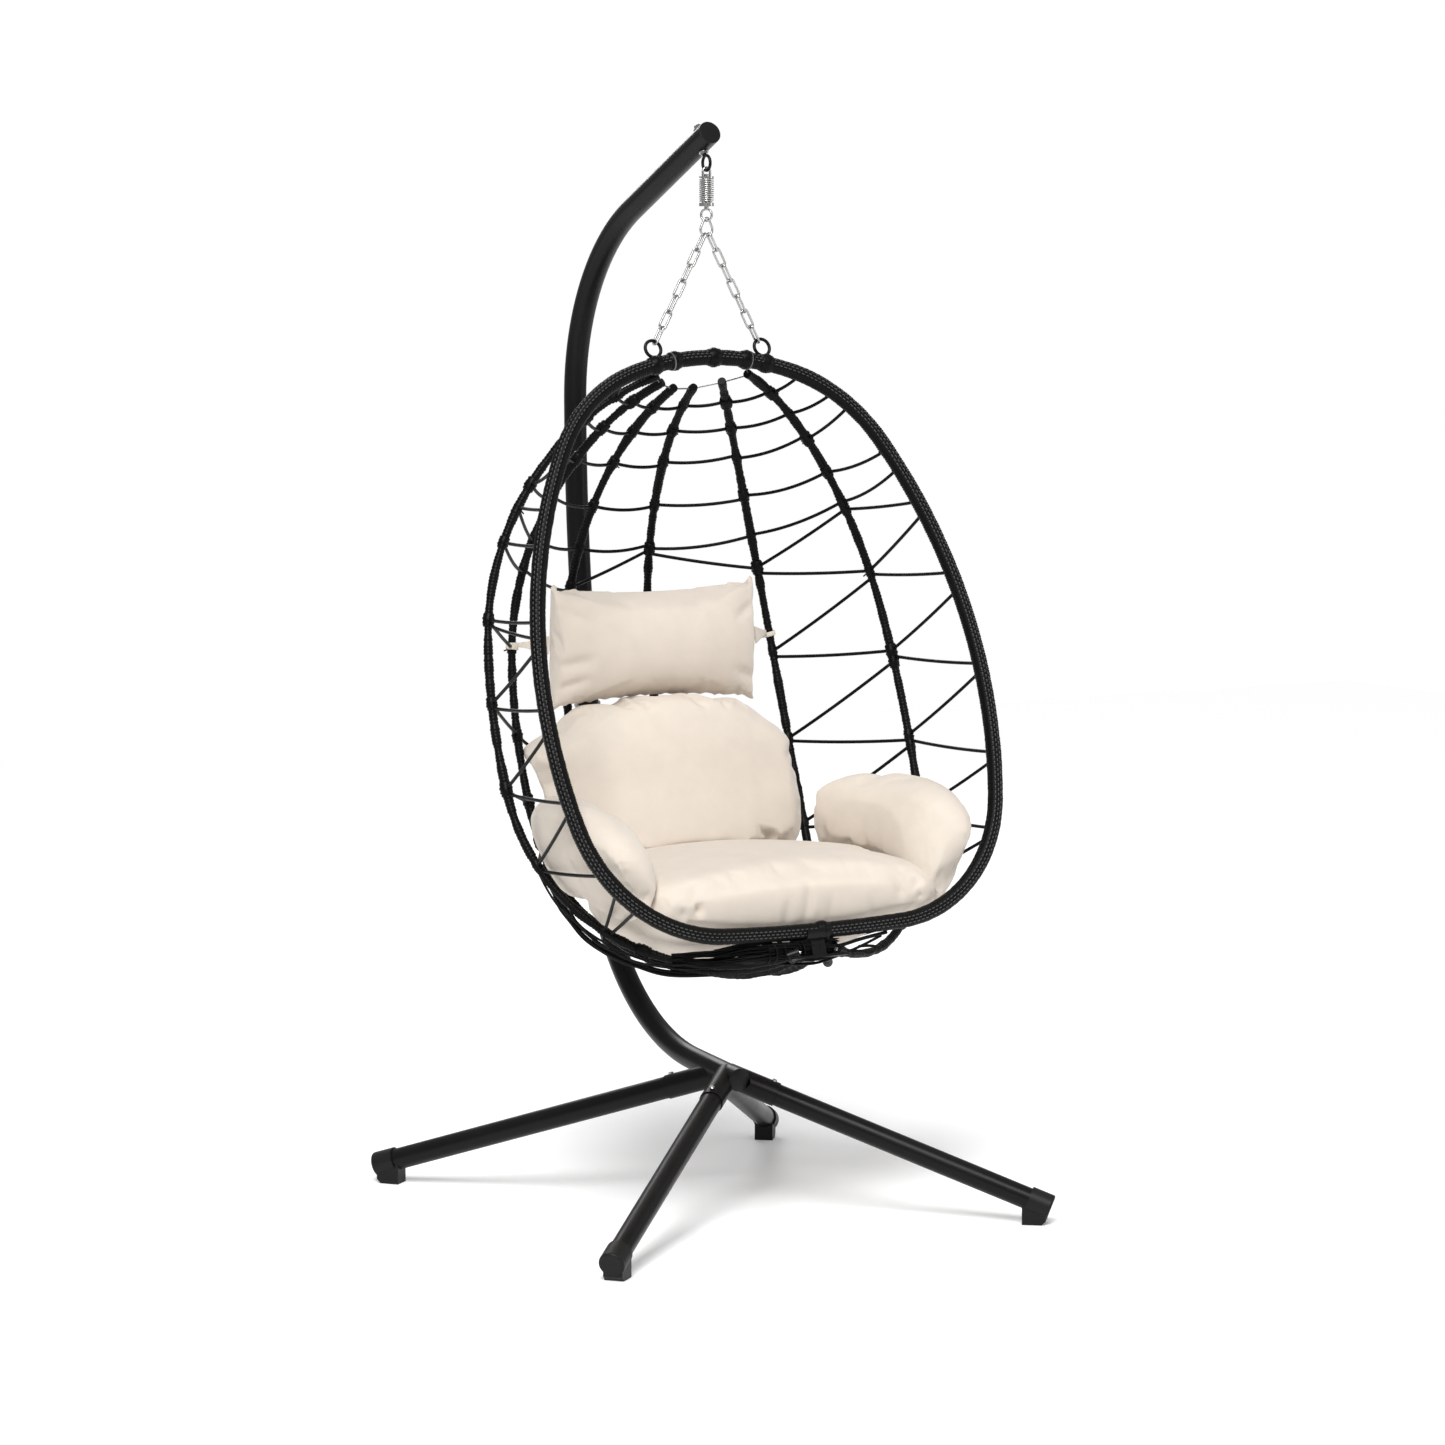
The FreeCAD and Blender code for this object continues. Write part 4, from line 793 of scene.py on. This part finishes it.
strip_lines = []
for _ in range(strip_count):
    first = chance.choice((0, 0, 1, 1, 2))
    last = chance.choice((4, 5, 5))
    lift = chance.uniform(*strip_lift)
    strip_lines.append([low_place(x, y, z + lift * min(1.0, 0.5 + 0.5 * index))
                        + jitter(strip_jitter)
                        for index, (x, y, z) in enumerate(strip_course[first:last + 1])])
flat_strip = strip_tree()
strips = grow(flat_strip,
              line_mesh("strip_paths", strip_lines,
                        tilt=[chance.uniform(-strip_tilt, strip_tilt) for _ in strip_lines]),
              "hub_strips", "basket", Width=lashing_width, Thickness=lashing_thickness, Steps=28,
              Waver=1.4, Material=wicker)

turn_lines = []
for place in turn_places:
    middle = low_place(place + chance.uniform(-3, 3), -3 + 0.12 * abs(place + 20), -32)
    wide = chance.uniform(*turn_widths) / 1000
    tall = chance.uniform(*turn_heights) / 1000
    lean = chance.uniform(-turn_lean, turn_lean)
    loop = []
    for step in range(turn_points):
        angle = 2 * math.pi * step / turn_points_round
        loop.append(middle + Vector((lean * wide * math.cos(angle) + turn_drift * step,
                                     wide * math.cos(angle), tall * math.sin(angle))))
    turn_lines.append(loop)
turns = grow(flat_strip,
             line_mesh("turn_paths", turn_lines, tilt=[math.pi / 2] * len(turn_lines)),
             "hub_turns", "basket", Width=lashing_width, Thickness=lashing_thickness, Steps=36,
             Waver=0.3, Material=wicker)


def below_rib(kind, side, top_drop, low_drop, offset):
    """A line that hangs below a rib between two drops, furthest away in the middle."""
    out = rib_out(kind, side)
    line = []
    for step in range(hang_steps + 1):
        share = step / hang_steps
        point, way = member_point((kind, side), top_drop + (low_drop - top_drop) * share)
        away = (out * way.dot(down) - down * way.dot(out)).normalized()
        reach = rib_wrap_radius * 0.6 + offset * math.sin(math.pi * share) ** 0.8
        line.append(point + away * reach)
    return line


def low_line(*places):
    return [low_place(*place) for place in places]


hanging = [(0.0034, [below_rib("middle", -1, 0.800, 1.083, 0.024),
                     below_rib("middle", -1, 0.806, 1.072, 0.017),
                     low_line((4, -10, -26), (44, -10, -27), (92, -5, -21), (150, 1, -14))]),
           (0.0021, [below_rib("middle", -1, 0.815, 1.060, 0.029),
                     below_rib("side", -1, 0.860, 1.078, 0.012),
                     below_rib("side", -1, 0.930, 1.080, 0.019)]),
           (0.0026, [low_line((-60, 22, -56), (0, 6, -58), (44, -6, -48), (90, -5, -34),
                              (138, 0, -19)),
                     low_line((88, -6, -33), (108, -9, -32), (122, -10, -38), (110, -11, -45),
                              (92, -9, -40), (74, -7, -41))])]
smooth_cord = cord_tree("smooth_cord", True)
for index, (radius, lines) in enumerate(hanging):
    for line in lines:
        for point in line[1:-1]:
            point += jitter(hang_jitter)
    loose = grow(smooth_cord, line_mesh("loose_paths", lines), "hub_cords_%d" % (index + 1),
                 "basket", Radius=radius, Sides=8, Material=wicker)

# Cushions: a U shaped seat and back pad and two arm bolsters, sewn from cream woven polyester
# and filled loosely with fibre, so that they swell between their seams and crease at the tucks.
cloth_start_inside = 0.004
cloth_pressure = 4.0
cloth_growth = -0.05
cloth_frames = 20
most_swell = 0.014
cream = (0.655, 0.583, 0.505, 1.0)
# Tan colour for painted shade in the cushions' creases and hollows.
painted_crease_shade_colour = (0.47, 0.34, 0.235, 1.0)


def weave_effects():
    """Fine square weave on all three planes, soft unevenness, and a slightly darker thread gap."""
    group, given = new_tree("cloth_weave", "ShaderNodeTree",
                            {"Colour": (0.8, 0.7, 0.6, 1.0), "Threads": 6000.0, "Depth": 0.3},
                            {"Colour": colour_socket, "Normal": vector_socket})
    place = add_node(group, "ShaderNodeTexCoord", out="Object")
    normal = add_node(group, "ShaderNodeNewGeometry", out="Normal")
    sines = vector_maths(group, "SINE",
                         vector_maths(group, "SCALE", place, Scale=given["Threads"]))
    wave, weight = ({axis: add_node(group, "ShaderNodeSeparateXYZ", {"Vector": vector}, axis)
                     for axis in "XYZ"}
                    for vector in (sines, vector_maths(group, "MULTIPLY", normal, normal)))
    shares = [maths(group, "MULTIPLY", maths(group, "MULTIPLY", wave[first], wave[second]),
                    weight[across]) for first, second, across in ("YZX", "XZY", "XYZ")]
    height = maths(group, "ADD", maths(group, "ADD", shares[0], shares[1]), shares[2])
    slow = noise(group, place, 26.0, 3.0, Roughness=0.55)
    tone = maths(group, "MULTIPLY", remap(group, slow, 0.3, 0.7, 0.965, 1.02),
                 remap(group, height, -1.0, 1.0, 0.95, 1.03))
    relief = bump(group, height, given["Depth"], 0.0003, Normal=bump(group, slow, 0.25, 0.004))
    return give_out(group, Colour=vector_maths(group, "SCALE", given["Colour"], Scale=tone),
                    Normal=relief)


cream_cloth, cloth_tree, cloth_shader = new_finish(
    "cream_polyester", Roughness=0.86, Sheen_Weight=0.25, Sheen_Roughness=0.5,
    Specular_IOR_Level=0.25)
weave = add_group(cloth_tree, weave_effects(), Colour=cream)
# Painted shade: concave places, found by pointiness, are tinted towards the tan crease shade
# colour.
pointiness = add_node(cloth_tree, "ShaderNodeNewGeometry", out="Pointiness")
cream_with_painted_crease_shade = mixed(cloth_tree, remap(cloth_tree, pointiness, 0.475, 0.41), weave["Colour"],
                    painted_crease_shade_colour)
cloth_tree.links.new(cream_with_painted_crease_shade, cloth_shader.inputs["Base Color"])
cloth_tree.links.new(weave["Normal"], cloth_shader.inputs["Normal"])


def mesh_points(mesh):
    flat = np.empty(len(mesh.vertices) * 3)
    mesh.vertices.foreach_get("co", flat)
    return flat.reshape(-1, 3)


def mesh_normals(mesh):
    flat = np.empty(len(mesh.vertices) * 3)
    mesh.vertex_normals.foreach_get("vector", flat)
    return flat.reshape(-1, 3)


def set_points(mesh, points):
    mesh.vertices.foreach_set("co", points.ravel())
    mesh.update()


def made_plain(piece):
    """The piece's mesh with its modifiers applied."""
    depsgraph = bpy.context.evaluated_depsgraph_get()
    mesh = bpy.data.meshes.new_from_object(piece.evaluated_get(depsgraph))
    piece.modifiers.clear()
    piece.data = mesh
    return mesh


def filled_cover(name, node, voxel, most=most_swell, inside=cloth_start_inside):
    """A cover that starts a little inside the solid, and is blown up by its filling."""
    source = nodes[node]
    mesh = source.data.copy()
    mesh.transform(source.matrix_world)
    mesh.materials.clear()
    piece = add_object(name, mesh)
    remesh = piece.modifiers.new("remesh", "REMESH")
    remesh.mode = "VOXEL"
    remesh.voxel_size = voxel
    even = piece.modifiers.new("even", "SMOOTH")
    even.factor = 0.5
    even.iterations = 4
    mesh = made_plain(piece)
    start = mesh_points(mesh) - mesh_normals(mesh) * inside
    set_points(mesh, start)
    cloth = piece.modifiers.new("filling", "CLOTH")
    for key, value in (("quality", 6), ("mass", 0.2), ("tension_stiffness", 12.0),
                       ("compression_stiffness", 12.0), ("shear_stiffness", 4.0),
                       ("bending_stiffness", 0.3), ("use_pressure", True),
                       ("uniform_pressure_force", cloth_pressure),
                       ("shrink_min", cloth_growth)):
        setattr(cloth.settings, key, value)
    cloth.settings.effector_weights.gravity = 0.0
    cloth.point_cache.frame_start = 1
    cloth.point_cache.frame_end = cloth_frames
    for moment in range(1, cloth_frames + 1):
        bpy.context.scene.frame_set(moment)
    mesh = made_plain(piece)
    bpy.context.scene.frame_set(1)
    moved = mesh_points(mesh) - start
    length = np.linalg.norm(moved, axis=1, keepdims=True)
    set_points(mesh, start + moved * np.minimum(1.0, most / np.maximum(length, 1e-9)))
    return piece


def from_top(x, y, z):
    """A place measured from the top of the hoop, in millimetres."""
    return tuple(hoop_top + Vector((x, y, z)) / 1000)


def sewn_in(mesh, tucks, side=1, in_front=False):
    """Pulls the cover in along straight tucks, which side -1 mirrors.

    Each tuck has two ends measured from the top of the hoop, a half width and a depth, all in
    millimetres. Tucks in front are drawn on the front as it is seen from ahead, however far
    out it bulges.
    """
    points = mesh_points(mesh)
    normals = mesh_normals(mesh)
    pull = np.zeros(len(points))
    depth_share = np.array((1.0, 0.0 if in_front else 1.0, 1.0))
    for first, last, width, depth in tucks:
        start, end = (np.array(from_top(side * x, y, z)) for x, y, z in (first, last))
        span = (end - start) * depth_share
        share = np.clip((points - start) @ span / (span @ span), 0.0, 1.0)
        gap = np.linalg.norm((points - start - share[:, None] * span) * depth_share, axis=1)
        fade = 0.35 + 0.65 * np.sin(math.pi * np.clip(share, 0.08, 0.92))
        pull += depth / 1000 * fade * np.exp(-(gap / (width / 1000)) ** 2)
    if in_front:
        pull *= np.clip(-1.5 * normals[:, 1] - 0.3, 0.0, 1.0)
    set_points(mesh, points - normals * pull[:, None])


def ramp(values, start, length):
    """0 before a start, and evenly up to 1 over a length, which may run down."""
    return np.clip((values - start) / length, 0.0, 1.0)


def spot(points, centre, spread=0.06):
    """1 at a centre, and fading out all round it."""
    return np.exp(-(np.linalg.norm(points - np.array(centre), axis=1) / spread) ** 2)


def covered(piece, node):
    """One subdivision, the fabric, and the piece's place in the frame."""
    smooth = piece.modifiers.new("fine", "SUBSURF")
    smooth.levels = 1
    smooth.render_levels = 1
    mesh = made_plain(piece)
    mesh.materials.clear()
    mesh.materials.append(cream_cloth)
    mesh.shade_smooth()
    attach(piece, "basket")
    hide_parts(node)


seat_corner = from_top(270, -285, -935)
seat_corner_out = 0.014
seat_corner_fall = 0.010
seat = filled_cover("seat_pad", "seat_cushion", 0.008)
sewn_in(seat.data, (
    ((-34, -352, -1000), (-30, -322, -940), 6, 6),
    ((4, -352, -1000), (16, -318, -905), 7, 6),
    ((54, -352, -1000), (62, -322, -925), 7, 4),
    ((30, -350, -1000), (36, -335, -955), 5, 4),
    ((150, -350, -990), (146, -335, -935), 7, 4)), in_front=True)
sewn_in(seat.data, (
    ((215, -350, -965), (190, -300, -905), 7, 9),
    ((238, -345, -960), (236, -290, -905), 6, 8),
    ((-205, -350, -970), (-208, -290, -900), 6.5, 15),
    ((-232, -340, -955), (-250, -270, -900), 7, 9),
    ((-120, -352, -980), (-130, -330, -935), 6, 6),
    ((130, -352, -980), (124, -332, -940), 6, 6)))
spots = mesh_points(seat.data)
near = spot(spots, seat_corner)
spots[:, 0] += seat_corner_out * near
spots[:, 2] -= seat_corner_fall * near
set_points(seat.data, spots)
covered(seat, "seat_cushion")

back_top = from_top(0, 0, -617)[2]
back_shoulder = 0.085
back_shoulder_share = 0.13
back_lip = 0.022
back_corner_height = from_top(0, 0, -708)[2]
back_corner_half = 0.030
back_corner_reach = 0.030
back_corner_forward = 0.012
back_pad = filled_cover("back_pad", "back_cushion", 0.008)
sewn_in(back_pad.data, (
    ((-246, 150, -705), (-170, 132, -715), 10, 7),
    ((246, 150, -705), (190, 132, -712), 9, 6),
    ((-180, 60, -905), (-120, 60, -860), 10, 7)))
spots = mesh_points(back_pad.data)
low, high = spots[:, 2].min(), spots[:, 2].max()
spots[:, 2] = low + (spots[:, 2] - low) * (back_top - low) / (high - low)
shoulder = ramp(spots[:, 2], back_top - back_shoulder, back_shoulder)
spots[:, 0] *= 1 - back_shoulder_share * np.sin(math.pi * shoulder ** 1.3)
rib_run = np.array([tuple(point) for point in rib_lines[("middle", 1)]])
rib_run = rib_run[np.argsort(rib_run[:, 2])]
rib_front = np.interp(spots[:, 2], rib_run[:, 2], rib_run[:, 1]) - rib_wrap_radius
ahead = ramp(spots[:, 1], rib_front - 0.003, -0.02)
middle_part = ramp(spots[:, 2], back_top - 0.06, -0.10)
edge = ramp(np.abs(spots[:, 0]), 0.16, 0.08)
spots[:, 0] += np.sign(spots[:, 0]) * back_lip * edge * ahead * middle_part
corner = np.exp(-((spots[:, 2] - back_corner_height) / back_corner_half) ** 2)
corner *= ramp(spots[:, 0], -0.17, -0.075) ** 1.5
spots[:, 0] -= back_corner_reach * corner
spots[:, 1] -= back_corner_forward * corner
set_points(back_pad.data, spots)
covered(back_pad, "back_cushion")

arm_middle = from_top(0, 0, -860)[2]
arm_droop = 0.020
arm_front = from_top(0, -110, 0)[1]
arm_front_fall = 0.020
arm_corner = from_top(305, -262, -925)
arm_corner_fall = 0.024
arm_tucks = (
    ((300, -60, -770), (360, -40, -775), 22, 14),
    ((268, -262, -935), (280, -250, -880), 7, 10),
    ((300, -300, -915), (318, -262, -880), 6, 9),
    ((322, -300, -905), (345, -255, -872), 6, 8),
    ((255, -120, -925), (268, -110, -870), 9, 8),
    ((250, 10, -890), (262, 6, -840), 9, 8),
    ((345, -180, -905), (388, -175, -850), 10, 8))
for side, node in ((-1, "arm_cushion_left"), (1, "arm_cushion_right")):
    arm = filled_cover(node.replace("cushion", "pad"), node, 0.007)
    spots = mesh_points(arm.data)
    outside = ramp(spots[:, 0] * side, 0.285, 0.03)
    spots[:, 2] -= arm_droop * ramp(spots[:, 2], arm_middle, -0.07) * outside
    if side < 0:
        near_end = ramp(spots[:, 1], arm_front, -0.15)
        upper = ramp(spots[:, 2], arm_middle, 0.06)
        spots[:, 2] -= arm_front_fall * near_end * upper * ramp(spots[:, 0], -0.40, 0.09)
    else:
        spots[:, 2] -= arm_corner_fall * spot(spots, arm_corner)
    set_points(arm.data, spots)
    sewn_in(arm.data, arm_tucks, side)
    covered(arm, node)

# Head pillow: a small oblong pillow with a plain knife edge seam, pointed corners and gathers
# along its lower seam. A flat fabric tie at each end goes round the rib beside it.
pillow_middle = from_top(0, 206, -526)
pillow_half_width = 0.218
pillow_middle_reach = 0.095
pillow_corner_reach = 0.113
pillow_columns = 24
seam_half = 0.014
gather_height = 0.08
gather_depth = 0.0020
gather_length = 0.021
gather_groups = 0.083
pillow = filled_cover("head_pillow_pad", "head_pillow", 0.006, 0.009, 0.002)
spots = mesh_points(pillow.data)
near_seam = np.exp(-np.abs(spots[:, 1] - pillow_middle[1]) / seam_half)
gather = (np.sin(spots[:, 0] * 2 * math.pi / gather_length)
          * np.sin(spots[:, 0] * 2 * math.pi / gather_groups))
low = ramp(spots[:, 2], pillow_middle[2], -gather_height)
set_points(pillow.data, spots - mesh_normals(pillow.data)
           * (gather_depth * (gather + 0.4) * near_seam * low)[:, None])
spots = mesh_points(pillow.data)
columns = ramp(np.abs(spots[:, 0]), 0.0, pillow_half_width)
cells = np.minimum((columns * pillow_columns).astype(int), pillow_columns - 1)
wanted = pillow_middle_reach + (pillow_corner_reach - pillow_middle_reach) * columns ** 2.2
for up in (1, -1):
    part = (spots[:, 2] - pillow_middle[2]) * up > 0
    seen = np.zeros(pillow_columns)
    np.maximum.at(seen, cells[part], np.abs(spots[part, 2] - pillow_middle[2]))
    seen = np.convolve(np.pad(seen, 2, mode="edge"), np.ones(5) / 5, mode="valid")
    spots[part, 2] = (pillow_middle[2] + (spots[part, 2] - pillow_middle[2])
                      * (wanted / seen[cells])[part])
set_points(pillow.data, spots)
sewn_in(pillow.data, (
    ((-214, 190, -560), (-150, 160, -548), 10, 7),
    ((-212, 190, -602), (-160, 170, -585), 8, 6),
    ((-200, 190, -455), (-150, 165, -480), 9, 6),
    ((206, 190, -458), (160, 165, -482), 9, 6),
    ((210, 190, -600), (160, 168, -580), 9, 6)))
covered(pillow, "head_pillow")

tie_drop = 0.405
tie_widths = (0.034, 0.022, 0.012, 0.0085)
tie_thickness = 0.0016
tie_turn_steps = 14
tie_reach = rib_wrap_radius + 0.0018
for side, node in ((-1, "pillow_tie_left"), (1, "pillow_tie_right")):
    centre, along = member_point(("middle", side), tie_drop)
    seam = from_top(side * 216, 206, 0)
    seam = Vector((seam[0], seam[1], centre.z))
    toward = seam - centre
    toward = (toward - along * toward.dot(along)).normalized()
    across = along.cross(toward).normalized()
    gap = (seam - centre).length
    course = [(centre + toward * (tie_reach + (gap - tie_reach) * share), width)
              for share, width in zip((1.0, 0.62, 0.28, 0.06), tie_widths)]
    for step in range(1, tie_turn_steps + 1):
        angle = 2 * math.pi * step / tie_turn_steps
        turned = toward * math.cos(angle) + across * math.sin(angle)
        course.append((centre + turned * (tie_reach + 0.0001 * step) + along * (0.0004 * step),
                       tie_widths[-1]))
    tail = course[-1][0]
    for step in range(1, 4):
        course.append((tail - toward * (0.006 * step) + across * (0.012 + 0.001 * step),
                       tie_widths[-1]))
    tie_points = []
    tie_faces = []
    for index, (point, width) in enumerate(course):
        before = course[max(index - 1, 0)][0]
        after = course[min(index + 1, len(course) - 1)][0]
        thick = (after - before).cross(along).normalized() * (tie_thickness / 2)
        half_up = along * (width / 2)
        tie_points += [point + half_up * up + thick * out
                       for up, out in ((1, 0.4), (0.8, 1), (-0.8, 1), (-1, 0.4),
                                       (-1, -0.4), (-0.8, -1), (0.8, -1), (1, -0.4))]
        if index:
            first = 8 * (index - 1)
            tie_faces += [(first + edge, first + (edge + 1) % 8, first + 8 + (edge + 1) % 8,
                           first + 8 + edge) for edge in range(8)]
    tie_faces += [tuple(range(8))[::-1], tuple(range(8 * len(course) - 8, 8 * len(course)))]
    band = add_mesh(node + "_band", tie_points, [], tie_faces)
    shell = bmesh.new()
    shell.from_mesh(band.data)
    bmesh.ops.recalc_face_normals(shell, faces=shell.faces)
    shell.to_mesh(band.data)
    shell.free()
    band.data.shade_smooth()
    band.data.materials.append(cream_cloth)
    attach(band, "basket")
    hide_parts(node)
